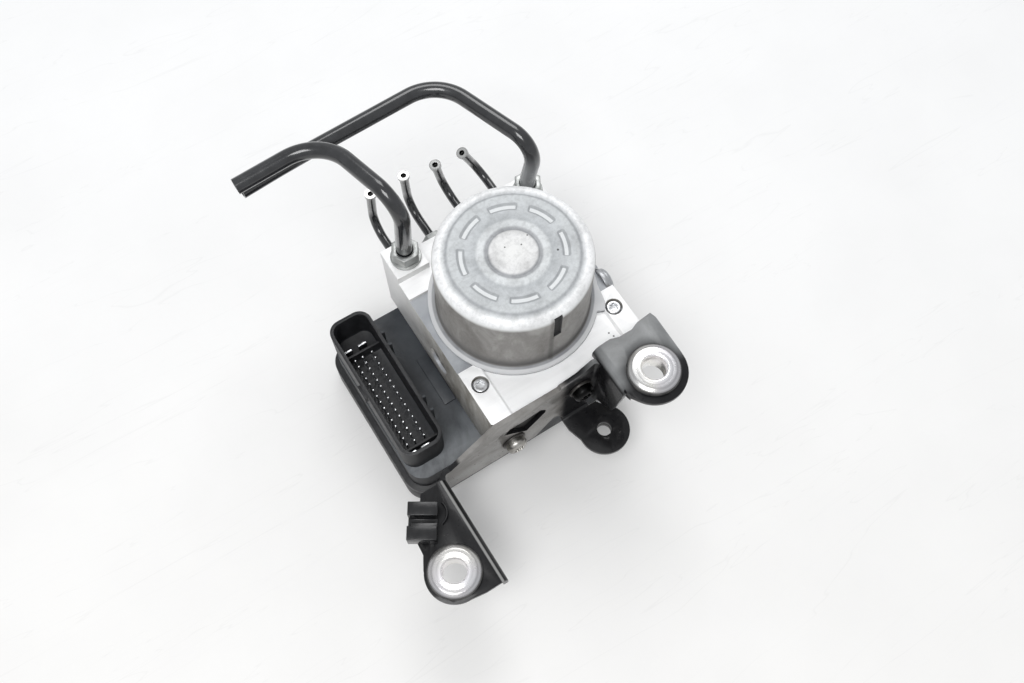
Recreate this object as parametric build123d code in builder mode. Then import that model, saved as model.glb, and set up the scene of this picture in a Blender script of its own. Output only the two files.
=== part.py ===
"""Brake hydraulic unit: valve block, pump motor, control unit, bracket and rigid brake pipes.

Frame: Z along the motor axis, Z = 0 on the underside of the control unit, X towards the right of
the block, Y towards its pipe side. Millimetres.
"""

import math
import os

from build123d import *

# ---------------------------------------------------------------- driving dimensions
# Control unit
ecu_height = 30.0
cover_height = 13.0
ecu_left = -86.0
ecu_right = 43.5
ecu_half_depth = 45.5
ecu_corner_radius = 9.0
ecu_wall = 2.5
rim_overhang = 3.0
rim_thickness = 3.0

# Connector shroud, opening upwards beside the block
connector_x = -74.0
connector_y = 4.0
connector_width = 23.0
connector_length = 84.0
connector_height = 20.0
connector_wall = 1.8
connector_corner_radius = 7.0
pins_per_row = 15
pin_pitch = 3.85
pin_row_offsets = (-6.2, -1.8, 3.7)
pin_width = 0.9
pin_length = 9.0
blade_width = 4.8
blade_thickness = 1.2

# Valve block
block_width = 90.0
block_depth = 106.0
block_height = 45.0
block_front = 52.5
land_depth = 2.0
panel_depth = 1.2
land_front = 21.5
land_back = 25.0
strip_width = 12.0
platform_width = 18.0
platform_depth = 18.0
platform_height = 5.0
back_notch_depth = 4.0
back_notch_height = 10.0

# Motor
can_radius = 38.0
can_height = 43.7
can_wall = 2.0
can_shoulder = 4.5
flange_radius = 42.0
flange_thickness = 1.6
seal_thickness = 1.0
ear_outline = [(30.0, -29.4), (33.6, -31.0), (36.2, -27.3), (38.2, -17.5)]
emboss_step = 1.0
slot_count = 8
slot_ring_radius = 24.4
slot_ring_width = 4.2
slot_sweep = 32.0
slot_first_angle = -20.0
hub_wall = 2.0
magnet_thickness = 4.2
magnet_length = 28.0
air_gap = 0.6
core_length = 22.0
core_slots = 12
lead_place = (0.0, 28.0)

# Shaft, bearings and pump
shaft_radius = 4.0
running_clearance = 0.04
seat_clearance = 0.02
pump_height = 48.0
eccentric_offset = 1.5
eccentric_radius = 6.5
eccentric_width = 9.0
eccentric_bearing_wall = 3.0
drive_bearing_radius = 13.0
drive_bearing_width = 9.0
cavity_radius = 12.5
bush_radius = 7.0
bush_length = 7.0
piston_radius = 4.0
piston_length = 19.0
pump_bore_radius = 6.5
plug_radius = 8.0
plug_thickness = 4.0
plug_recess = 1.5

# Accumulators, opening in the underside of the block
accumulator_radius = 11.5
accumulator_depth = 26.0
accumulator_x = 17.0
accumulator_y = -37.5
accumulator_piston_length = 9.0
accumulator_cap_thickness = 3.0
spring_radius = 7.0
spring_wire = 1.6
spring_turns = 3.5

# Valves and their coils
valve_columns = (-33.0, -11.0, 11.0, 33.0)
valve_rows = (-16.5, 16.5)
valve_body_radius = 6.9
valve_body_length = 10.0
valve_dome_radius = 3.4
valve_dome_length = 16.5
coil_radius = 7.6
coil_height = 14.0

# Circuit board
board_thickness = 1.6
board_height = 7.0

# Screws, bolts and plugs
ecu_screw_places = ((-38.7, -31.9), (38.7, -31.9), (0.0, 44.3))
ecu_screw_radius = 2.4
ecu_screw_head_radius = 3.6
ecu_screw_head_height = 3.0
ecu_screw_hole_radius = 2.7
ecu_screw_counterbore_radius = 4.4
ecu_screw_end_height = 17.0
ecu_boss_radius = 4.6
bracket_bolt_places = ((-34.5, 44.0), (4.0, 63.0))
bracket_bolt_radius = 3.0
bracket_bolt_length = 13.0
bracket_bolt_head_radius = 5.5
bracket_bolt_head_height = 4.6
bracket_washer_radius = 6.4
bracket_washer_thickness = 1.4
side_plug_y = -15.0
side_plug_drop = 5.0
side_plug_radius = 6.6
side_plug_washer_radius = 7.4
side_plug_washer_thickness = 2.6
side_plug_bore_radius = 4.0
side_plug_stem = 9.0

# Bracket sheet
sheet = 2.5
bend_radius = 2.0
left_wall_x = -74.3
left_tab_height = 55.0
left_tab_front = -113.5
left_mount = (-93.8, -98.0)
left_mount_radius = 14.4
right_wall_x = 12.5
right_tab_height = 89.0
right_mount = (30.7, -73.9)
right_mount_radius = 16.4
plate_bottom = 27.0
lower_tab_height = 31.0
lower_mount = (10.5, -71.5)
lower_mount_radius = 13.2
lower_hole_radius = 3.75
weld_nut_radius = 7.0
weld_nut_height = 4.0

# Rubber mounts
sleeve_bore_radius = 5.9
sleeve_radius = 7.4
sleeve_flange_radius = 12.4
sleeve_flange_thickness = 1.8
grommet_groove_radius = 9.5
grommet_flange_radius = 13.0
grommet_flange_height = 2.4
grommet_lower_height = 6.0

# Pipes and their nuts
master_left_inset = 9.8
master_right_inset = 8.2
master_back_inset = 9.2
master_pipe_radius = 4.0
master_pipe_bore = 3.0
master_thread_radius = 6.0
master_port_depth = 14.0
master_nut_flats = 13.0
master_nut_height = 8.0
wheel_port_x = (-34.0, -12.0, 10.0, 32.0)
wheel_port_height = 50.0
wheel_pipe_radius = 2.375
wheel_pipe_bore = 1.5
wheel_thread_radius = 5.0
wheel_port_depth = 12.0
wheel_nut_flats = 11.0
wheel_nut_length = 9.0
wheel_run = 33.0
wheel_rises = (29.0, 29.8, 24.7, 22.8)
wheel_leans = (1.8, -0.5, -3.9, -9.5)
wheel_bend_radius = 11.0
wheel_flare = 0.8
wheel_flare_length = 1.6

# Cable clip
clip_angle = -32.3
clip_length = 14.0
clip_jaw_width = 6.6
clip_jaw_gap = 4.9
clip_jaw_height = 9.0
clip_base_height = 2.0
clip_place = (-94.9, -71.1)
clip_peg_radius = 2.4

# ---------------------------------------------------------------- derived heights
block_bottom = ecu_height
block_top = block_bottom + block_height
block_back = block_depth - block_front
land_height = block_top - land_depth
side_plug_height = land_height - side_plug_drop
panel_height = block_top - panel_depth
platform_top = block_top + platform_height
master_y = block_back - master_back_inset
master_ports = (
    (master_left_inset - block_width / 2, master_y), (block_width / 2 - master_right_inset, master_y)
)
can_base = land_height + seal_thickness
can_top = block_top + can_height
strip_inner = block_width / 2 - strip_width
connector_top = ecu_height + connector_height
connector_floor = ecu_height - 1.0
bearing_bottom = pump_height + eccentric_width / 2 + 4.5
bearing_top = bearing_bottom + drive_bearing_width
cavity_bottom = pump_height - eccentric_width / 2 - 2.5
bush_top = can_top - can_wall - emboss_step
core_bottom = can_base + 10.0
piston_tip = eccentric_radius + eccentric_bearing_wall + eccentric_offset + 0.3
board_top = board_height + board_thickness
plate_front = -block_front - sheet

os.makedirs("parts", exist_ok=True)


# ---------------------------------------------------------------- hydraulic block
# Machined billet: raised corner platforms for the master ports, raised screw strips at the front,
# a lower land for the motor, and the drillings that the pump, valves and pipes need.
with BuildPart() as hydraulic_block:
    block_middle = (block_back - block_front) / 2
    with BuildSketch(Plane.XY.offset(block_bottom)):
        with Locations((0, block_middle)):
            Rectangle(block_width, block_depth)
    extrude(amount=block_height)
    chamfer(hydraulic_block.edges().filter_by(Axis.Z), 0.8)
    with BuildSketch(Plane.XY.offset(block_top)):
        for side in (-1, 1):
            with Locations((side * (block_width - platform_width) / 2, block_back - platform_depth / 2)):
                Rectangle(platform_width, platform_depth)
    extrude(amount=platform_height)
    # Motor land across the full width
    with BuildSketch(Plane.XY.offset(land_height)):
        with Locations((0, (land_back - land_front) / 2)):
            Rectangle(block_width, land_back + land_front)
    extrude(amount=land_depth, mode=Mode.SUBTRACT)
    # Round seat that the motor flange and its ear drop into
    with BuildSketch(Plane.XY.offset(land_height)):
        with BuildLine():
            Polyline(*ear_outline, close=True)
        make_face()
        offset(amount=0.4)
        Circle(flange_radius + 0.4)
    extrude(amount=land_depth, mode=Mode.SUBTRACT)
    # Slightly lower panel between the two screw strips, with sloping sides
    with BuildSketch(Plane.XY.offset(panel_height)):
        with Locations((0, -(block_front + land_front) / 2)):
            Rectangle(2 * strip_inner, block_front - land_front)
    with BuildSketch(Plane.XY.offset(block_top)):
        with Locations((0, -(block_front + land_front) / 2)):
            Rectangle(2 * (strip_inner + panel_depth), block_front - land_front)
    loft(mode=Mode.SUBTRACT)
    # Notch along the back edge between the platforms
    with BuildSketch(Plane.XY.offset(block_top - back_notch_height)):
        with Locations((0, block_back - back_notch_depth / 2)):
            Rectangle(block_width - 2 * platform_width, back_notch_depth)
    extrude(amount=back_notch_height, mode=Mode.SUBTRACT)
    # Shaft cavity and bearing seat
    with BuildSketch(Plane.XY.offset(cavity_bottom)):
        Circle(cavity_radius)
    extrude(amount=bearing_bottom - cavity_bottom, mode=Mode.SUBTRACT)
    with BuildSketch(Plane.XY.offset(bearing_bottom)):
        Circle(drive_bearing_radius + seat_clearance)
    extrude(amount=land_height - bearing_bottom, mode=Mode.SUBTRACT)
    # Cross drillings for the two pump elements
    with BuildSketch(Plane.YZ.offset(-block_width / 2)):
        with Locations((0, pump_height)):
            Circle(pump_bore_radius)
    extrude(amount=block_width, mode=Mode.SUBTRACT)
    for side in (-1, 1):
        with BuildSketch(Plane.YZ.offset(side * block_width / 2)):
            with Locations((0, pump_height)):
                Circle(plug_radius + seat_clearance)
        extrude(amount=-side * (plug_thickness + plug_recess), mode=Mode.SUBTRACT)
    # Accumulator bores and valve pockets in the underside
    with BuildSketch(Plane.XY.offset(block_bottom)):
        with Locations((-accumulator_x, accumulator_y), (accumulator_x, accumulator_y)):
            Circle(accumulator_radius)
    extrude(amount=accumulator_depth, mode=Mode.SUBTRACT)
    with BuildSketch(Plane.XY.offset(block_bottom)):
        with Locations(*[(x, y) for x in valve_columns for y in valve_rows]):
            Circle(valve_body_radius + seat_clearance)
    extrude(amount=valve_body_length, mode=Mode.SUBTRACT)
    # Control unit screws, with counterbores in the top
    with Locations(*[(x, y, block_top) for x, y in ecu_screw_places]):
        CounterBoreHole(
            ecu_screw_hole_radius,
            ecu_screw_counterbore_radius,
            ecu_screw_head_height + 0.5,
            block_height,
        )
    # Passage for the motor lead
    with BuildSketch(Plane.XY.offset(block_bottom)):
        with Locations(lead_place):
            Circle(3.6)
    extrude(amount=block_height, mode=Mode.SUBTRACT)
    # Bracket bolt holes in the front face
    with BuildSketch(Plane.XZ.offset(block_front)):
        with Locations(*bracket_bolt_places):
            Circle(bracket_bolt_radius + seat_clearance)
    extrude(amount=-(bracket_bolt_length + 1.5), mode=Mode.SUBTRACT)
    # Side plug with its washer pocket, which breaks into the motor land
    with BuildSketch(Plane.YZ.offset(block_width / 2)):
        with Locations((side_plug_y, side_plug_height)):
            Circle(side_plug_washer_radius + 0.4)
    extrude(amount=-side_plug_washer_thickness, mode=Mode.SUBTRACT)
    with BuildSketch(Plane.YZ.offset(block_width / 2)):
        with Locations((side_plug_y, side_plug_height)):
            Circle(side_plug_bore_radius + seat_clearance)
    extrude(amount=-(side_plug_washer_thickness + side_plug_stem + 1.0), mode=Mode.SUBTRACT)
    # Master ports in the platforms, wheel ports in the back face
    with BuildSketch(Plane.XY.offset(platform_top)):
        with Locations(*master_ports):
            Circle(master_thread_radius + seat_clearance)
    extrude(amount=-master_port_depth, mode=Mode.SUBTRACT)
    with BuildSketch(Plane.XZ.offset(-block_back)):
        with Locations(*[(x, wheel_port_height) for x in wheel_port_x]):
            Circle(wheel_thread_radius + seat_clearance)
    extrude(amount=wheel_port_depth, mode=Mode.SUBTRACT)
hydraulic_block.part.label = "hydraulic_block"
export_step(hydraulic_block.part, "parts/hydraulic_block.step")


# ---------------------------------------------------------------- motor
# Drawn steel can. The top has a raised rim, a lower panel with raised arc beads, a raised inner
# ring and a plain centre boss. A hub inside the top holds the bush.
panel_top = can_top - emboss_step
rim_inner = 0.827 * can_radius
ring_outer = 0.4535 * can_radius
boss_radius = 0.321 * can_radius
with BuildPart() as motor_can:
    with BuildSketch(Plane.XZ):
        with BuildLine():
            outside = Polyline(
                (0, can_top - 0.2),
                (boss_radius, can_top - 0.2),
                (boss_radius + 0.3, panel_top),
                (boss_radius + 0.9, panel_top),
                (boss_radius + 1.3, can_top - 0.3),
                (ring_outer - 0.6, can_top - 0.3),
                (ring_outer, panel_top),
                (rim_inner, panel_top),
                (rim_inner + 0.9, can_top),
                (can_radius - can_shoulder, can_top),
            )
            RadiusArc(
                (can_radius - can_shoulder, can_top),
                (can_radius, can_top - can_shoulder),
                can_shoulder,
            )
            Polyline(
                (can_radius, can_top - can_shoulder),
                (can_radius, can_base + flange_thickness),
                (flange_radius, can_base + flange_thickness),
                (flange_radius, can_base),
                (can_radius - can_wall, can_base),
                (can_radius - can_wall, bush_top),
                (bush_radius + hub_wall, bush_top),
                (bush_radius + hub_wall, bush_top - bush_length),
                (bush_radius + seat_clearance, bush_top - bush_length),
                (bush_radius + seat_clearance, bush_top),
                (0, bush_top),
                (0, can_top - 0.2),
            )
        make_face()
    revolve(axis=Axis.Z)
    # Raised arc beads on the panel
    with BuildSketch(Plane.XY.offset(panel_top)):
        for index in range(slot_count):
            first_angle = slot_first_angle + index * 360 / slot_count - slot_sweep / 2
            bead = CenterArc((0, 0), slot_ring_radius, first_angle, slot_sweep, mode=Mode.PRIVATE)
            SlotArc(bead, slot_ring_width)
    extrude(amount=emboss_step * 0.75, taper=20)
    # Scallop that clears the rear control unit screw
    with BuildSketch(Plane.XY.offset(can_base)):
        with Locations(ecu_screw_places[2]):
            Circle(ecu_screw_counterbore_radius + 0.3)
    extrude(amount=flange_thickness, mode=Mode.SUBTRACT)
    # Ear of the flange
    with BuildSketch(Plane.XY.offset(can_base)):
        with BuildLine():
            Polyline(*ear_outline, close=True)
        make_face()
    extrude(amount=flange_thickness)
motor_can.part.label = "motor_can"
export_step(motor_can.part, "parts/motor_can.step")

with BuildPart() as motor_seal:
    with BuildSketch(Plane.XY.offset(land_height)):
        Circle(flange_radius - 1.0)
        Circle(can_radius - can_wall, mode=Mode.SUBTRACT)
        with Locations(ecu_screw_places[2]):
            Circle(ecu_screw_counterbore_radius + 0.3, mode=Mode.SUBTRACT)
    extrude(amount=seal_thickness)
motor_seal.part.label = "motor_seal"
export_step(motor_seal.part, "parts/motor_seal.step")

magnet_outer = can_radius - can_wall - 0.1
magnet_inner = magnet_outer - magnet_thickness
with BuildPart() as motor_magnets:
    with BuildSketch(Plane.XY.offset(core_bottom - 3.0)):
        Circle(magnet_outer)
        Circle(magnet_inner, mode=Mode.SUBTRACT)
        with PolarLocations(0, 2):
            Rectangle(2 * can_radius, 8.0, mode=Mode.SUBTRACT)
        with PolarLocations(0, 2):
            Rectangle(8.0, 2 * can_radius, mode=Mode.SUBTRACT)
    extrude(amount=magnet_length)
motor_magnets.part.label = "motor_magnets"
export_step(motor_magnets.part, "parts/motor_magnets.step")

# Shaft with its ground eccentric below the drive bearing
with BuildPart() as pump_shaft:
    with BuildSketch(Plane.XY.offset(cavity_bottom + 0.5)):
        Circle(shaft_radius)
    extrude(amount=bush_top - 0.6 - cavity_bottom - 0.5)
    with BuildSketch(Plane.XY.offset(pump_height - eccentric_width / 2)):
        with Locations((0, eccentric_offset)):
            Circle(eccentric_radius)
    extrude(amount=eccentric_width)
    chamfer(pump_shaft.edges().sort_by(Axis.Z)[-1], 0.5)
pump_shaft.part.label = "pump_shaft"
export_step(pump_shaft.part, "parts/pump_shaft.step")

with BuildPart() as eccentric_bearing:
    with BuildSketch(Plane.XY.offset(pump_height - eccentric_width / 2)):
        with Locations((0, eccentric_offset)):
            Circle(eccentric_radius + eccentric_bearing_wall)
            Circle(eccentric_radius + seat_clearance, mode=Mode.SUBTRACT)
    extrude(amount=eccentric_width)
    chamfer(eccentric_bearing.edges().filter_by(GeomType.CIRCLE).group_by(SortBy.RADIUS)[-1], 0.4)
eccentric_bearing.part.label = "eccentric_bearing"
export_step(eccentric_bearing.part, "parts/eccentric_bearing.step")

# Ball bearing between shaft and block, drawn as one sealed ring with its shield grooves
with BuildPart() as drive_bearing:
    with BuildSketch(Plane.XY.offset(bearing_bottom)):
        Circle(drive_bearing_radius)
        Circle(shaft_radius + running_clearance, mode=Mode.SUBTRACT)
    extrude(amount=drive_bearing_width)
    for face_height, direction in ((bearing_bottom, 1), (bearing_top, -1)):
        with BuildSketch(Plane.XY.offset(face_height)):
            Circle(0.78 * drive_bearing_radius)
            Circle(0.5 * drive_bearing_radius, mode=Mode.SUBTRACT)
        extrude(amount=direction * 0.5, mode=Mode.SUBTRACT)
drive_bearing.part.label = "drive_bearing"
export_step(drive_bearing.part, "parts/drive_bearing.step")

with BuildPart() as shaft_bush:
    with BuildSketch(Plane.XY.offset(bush_top - bush_length)):
        Circle(bush_radius)
        Circle(shaft_radius + running_clearance, mode=Mode.SUBTRACT)
    extrude(amount=bush_length - 0.2)
shaft_bush.part.label = "shaft_bush"
export_step(shaft_bush.part, "parts/shaft_bush.step")

core_radius = magnet_inner - air_gap
with BuildPart() as armature_core:
    with BuildSketch(Plane.XY.offset(core_bottom)):
        Circle(core_radius)
        Circle(shaft_radius + seat_clearance, mode=Mode.SUBTRACT)
        with PolarLocations(core_radius - 5.0, core_slots):
            Rectangle(10.0, 1.6, mode=Mode.SUBTRACT)
        with PolarLocations(core_radius - 7.0, core_slots):
            Circle(3.0, mode=Mode.SUBTRACT)
    extrude(amount=core_length)
armature_core.part.label = "armature_core"
export_step(armature_core.part, "parts/armature_core.step")

# Copper: one bundle through each slot, joined by the end turns above and below the core
with BuildPart() as armature_windings:
    with BuildSketch(Plane.XY.offset(core_bottom - 3.0)):
        with PolarLocations(core_radius - 7.0, core_slots):
            Circle(2.8)
    extrude(amount=core_length + 5.5)
    for turn_height in (core_bottom - 3.2, core_bottom + core_length + 0.2):
        with BuildSketch(Plane.XY.offset(turn_height)):
            Circle(core_radius - 3.0)
            Circle(core_radius - 16.0, mode=Mode.SUBTRACT)
        extrude(amount=3.0)
armature_windings.part.label = "armature_windings"
export_step(armature_windings.part, "parts/armature_windings.step")

commutator_radius = 9.5
commutator_height = 6.0
with BuildPart() as commutator:
    with BuildSketch(Plane.XY.offset(can_base)):
        Circle(commutator_radius)
        Circle(shaft_radius + seat_clearance, mode=Mode.SUBTRACT)
        with PolarLocations(commutator_radius, 16):
            Rectangle(2.0, 0.5, mode=Mode.SUBTRACT)
    extrude(amount=commutator_height)
commutator.part.label = "commutator"
export_step(commutator.part, "parts/commutator.step")

# Moulded plate in the mouth of the can, with a pocket for each brush
brush_width = 6.0
brush_length = 11.0
brush_height = 4.2
brush_plate_thickness = 1.5
brush_start = commutator_radius + 0.3
brush_floor = can_base + brush_plate_thickness
with BuildPart() as brush_plate:
    with BuildSketch(Plane.XY.offset(can_base)):
        Circle(can_radius - can_wall - 0.1)
        Circle(commutator_radius + 1.5, mode=Mode.SUBTRACT)
    extrude(amount=brush_plate_thickness)
    with BuildSketch(Plane.XY.offset(brush_floor)):
        for side in (-1, 1):
            with Locations((side * (brush_start + brush_length / 2 + 1.5), 0)):
                Rectangle(brush_length, brush_width + 2.4)
                Rectangle(brush_length + 1.0, brush_width + 0.2, mode=Mode.SUBTRACT)
    extrude(amount=brush_height)
brush_plate.part.label = "brush_plate"
export_step(brush_plate.part, "parts/brush_plate.step")

with BuildPart() as brushes:
    with BuildSketch(Plane.XY.offset(brush_floor)):
        for side in (-1, 1):
            with Locations((side * (brush_start + brush_length / 2), 0)):
                Rectangle(brush_length, brush_width)
    extrude(amount=brush_height - 0.5)
brushes.part.label = "brushes"
export_step(brushes.part, "parts/brushes.step")

# Insulated lead that carries the motor current down through the block to the board
with BuildPart() as motor_lead:
    with BuildSketch(Plane.XY.offset(board_top)):
        with Locations(lead_place):
            Circle(2.6)
    extrude(amount=can_base - board_top)
motor_lead.part.label = "motor_lead"
export_step(motor_lead.part, "parts/motor_lead.step")


# ---------------------------------------------------------------- pump elements
sleeve_inner_end = 17.0
sleeve_length = 14.0
with BuildPart() as pump_pistons:
    for side in (-1, 1):
        with BuildSketch(Plane.YZ.offset(side * piston_tip)):
            with Locations((0, pump_height)):
                Circle(piston_radius)
        extrude(amount=side * piston_length)
pump_pistons.part.label = "pump_pistons"
export_step(pump_pistons.part, "parts/pump_pistons.step")

with BuildPart() as pump_sleeves:
    for side in (-1, 1):
        with BuildSketch(Plane.YZ.offset(side * sleeve_inner_end)):
            with Locations((0, pump_height)):
                Circle(pump_bore_radius - seat_clearance)
                Circle(piston_radius + seat_clearance, mode=Mode.SUBTRACT)
        extrude(amount=side * sleeve_length)
pump_sleeves.part.label = "pump_sleeves"
export_step(pump_sleeves.part, "parts/pump_sleeves.step")

plug_outer_face = block_width / 2 - plug_recess
with BuildPart() as pump_plugs:
    for side in (-1, 1):
        with BuildSketch(Plane.YZ.offset(side * plug_outer_face)):
            with Locations((0, pump_height)):
                Circle(plug_radius)
        extrude(amount=-side * plug_thickness)
        with BuildSketch(Plane.YZ.offset(side * (plug_outer_face - plug_thickness))):
            with Locations((0, pump_height)):
                Circle(pump_bore_radius - 0.1)
        extrude(amount=-side * (plug_outer_face - plug_thickness - sleeve_inner_end - sleeve_length))
        with BuildSketch(Plane.YZ.offset(side * plug_outer_face)):
            with Locations((0, pump_height)):
                Circle(0.55 * plug_radius)
        extrude(amount=-side * 1.2, mode=Mode.SUBTRACT)
pump_plugs.part.label = "pump_plugs"
export_step(pump_plugs.part, "parts/pump_plugs.step")


# ---------------------------------------------------------------- low-pressure accumulators
accumulator_top = block_bottom + accumulator_depth
piston_bottom = accumulator_top - 0.3 - accumulator_piston_length
cap_top = block_bottom + accumulator_cap_thickness
piston_hollow_top = piston_bottom + accumulator_piston_length - 2.5
spring_length = piston_hollow_top - cap_top


def accumulator_piston(x):
    """Cup-shaped piston at the closed end of its bore, open downwards for the spring."""
    with BuildPart() as piston:
        with BuildSketch(Plane.XY.offset(piston_bottom)):
            with Locations((x, accumulator_y)):
                Circle(accumulator_radius - running_clearance)
        extrude(amount=accumulator_piston_length)
        with BuildSketch(Plane.XY.offset(piston_bottom)):
            with Locations((x, accumulator_y)):
                Circle(accumulator_radius - 2.2)
        extrude(amount=piston_hollow_top - piston_bottom, mode=Mode.SUBTRACT)
        with BuildSketch(Plane.XY.offset(piston_bottom + 3.0)):
            with Locations((x, accumulator_y)):
                Circle(accumulator_radius)
                Circle(accumulator_radius - 0.8, mode=Mode.SUBTRACT)
        extrude(amount=2.0, mode=Mode.SUBTRACT)
    return piston.part


def accumulator_spring(x):
    """Coil spring that stands on the cap and carries the piston."""
    wire_radius = spring_wire / 2
    pitch = (spring_length - spring_wire) / spring_turns
    with BuildPart() as spring:
        with BuildLine() as coil:
            Helix(pitch, pitch * spring_turns, spring_radius,
                  center=(x, accumulator_y, cap_top + wire_radius))
        with BuildSketch(Plane(origin=coil.line @ 0, z_dir=coil.line % 0)):
            Circle(wire_radius - 0.02)
        sweep(is_frenet=True)
    return spring.part


for side_name, x in (("left", -accumulator_x), ("right", accumulator_x)):
    cup = accumulator_piston(x)
    cup.label = f"accumulator_piston_{side_name}"
    export_step(cup, f"parts/accumulator_piston_{side_name}.step")
    coil_spring = accumulator_spring(x)
    coil_spring.label = f"accumulator_spring_{side_name}"
    export_step(coil_spring, f"parts/accumulator_spring_{side_name}.step")

with BuildPart() as accumulator_caps:
    with BuildSketch(Plane.XY.offset(block_bottom)):
        with Locations((-accumulator_x, accumulator_y), (accumulator_x, accumulator_y)):
            Circle(accumulator_radius - seat_clearance)
    extrude(amount=accumulator_cap_thickness)
accumulator_caps.part.label = "accumulator_caps"
export_step(accumulator_caps.part, "parts/accumulator_caps.step")


# ---------------------------------------------------------------- valves and coils
with BuildPart() as valve_cartridge:
    with BuildSketch(Plane.XY.offset(block_bottom)):
        Circle(valve_body_radius)
    extrude(amount=4.0)
    with BuildSketch(Plane.XY.offset(block_bottom + 4.0)):
        Circle(valve_body_radius - 1.2)
    extrude(amount=valve_body_length - 4.1)
    with BuildSketch(Plane.XY.offset(block_bottom)):
        Circle(valve_dome_radius)
    extrude(amount=-valve_dome_length)
    fillet(valve_cartridge.edges().sort_by(Axis.Z)[0], 1.5)

with BuildPart() as valve_cartridges:
    with Locations(*[(x, y, 0) for x in valve_columns for y in valve_rows]):
        add(valve_cartridge.part)
valve_cartridges.part.label = "valve_cartridges"
export_step(valve_cartridges.part, "parts/valve_cartridges.step")

# Each coil: a yoke ring round the valve dome, with two legs down to the board
coil_bottom = block_bottom - ecu_wall - coil_height
with BuildPart() as valve_coil:
    with BuildSketch(Plane.XY.offset(coil_bottom)):
        Circle(coil_radius)
        Circle(valve_dome_radius + 0.3, mode=Mode.SUBTRACT)
    extrude(amount=coil_height)
    with BuildSketch(Plane.XY.offset(board_top)):
        with Locations((-2.0, 5.5), (2.0, 5.5)):
            Rectangle(1.2, 1.2)
    extrude(amount=coil_bottom - board_top)

with BuildPart() as valve_coils:
    with Locations(*[(x, y, 0) for x in valve_columns for y in valve_rows]):
        add(valve_coil.part)
valve_coils.part.label = "valve_coils"
export_step(valve_coils.part, "parts/valve_coils.step")


# ---------------------------------------------------------------- control unit
ecu_length = ecu_right - ecu_left
ecu_depth = 2 * ecu_half_depth
ecu_middle = (ecu_right + ecu_left) / 2
cavity_length = ecu_length - 2 * ecu_wall
cavity_depth = ecu_depth - 2 * ecu_wall
cavity_corner = ecu_corner_radius - ecu_wall
rim_length = ecu_length + 2 * rim_overhang
rim_depth = ecu_depth + 2 * rim_overhang
rim_corner = ecu_corner_radius + rim_overhang
seal_middle = (-0.25, 6.25)
seal_size = (83.5, 65.0)
seal_width = 1.6
seal_height = 1.0
pin_rows = [connector_x + offset for offset in pin_row_offsets]
pin_columns = [(index - (pins_per_row - 1) / 2) * pin_pitch for index in range(pins_per_row)]
blade_places = [(-81.0, 33.5), (-72.5, 33.5), (-80.0, -32.3), (-72.5, -32.3)]

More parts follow.
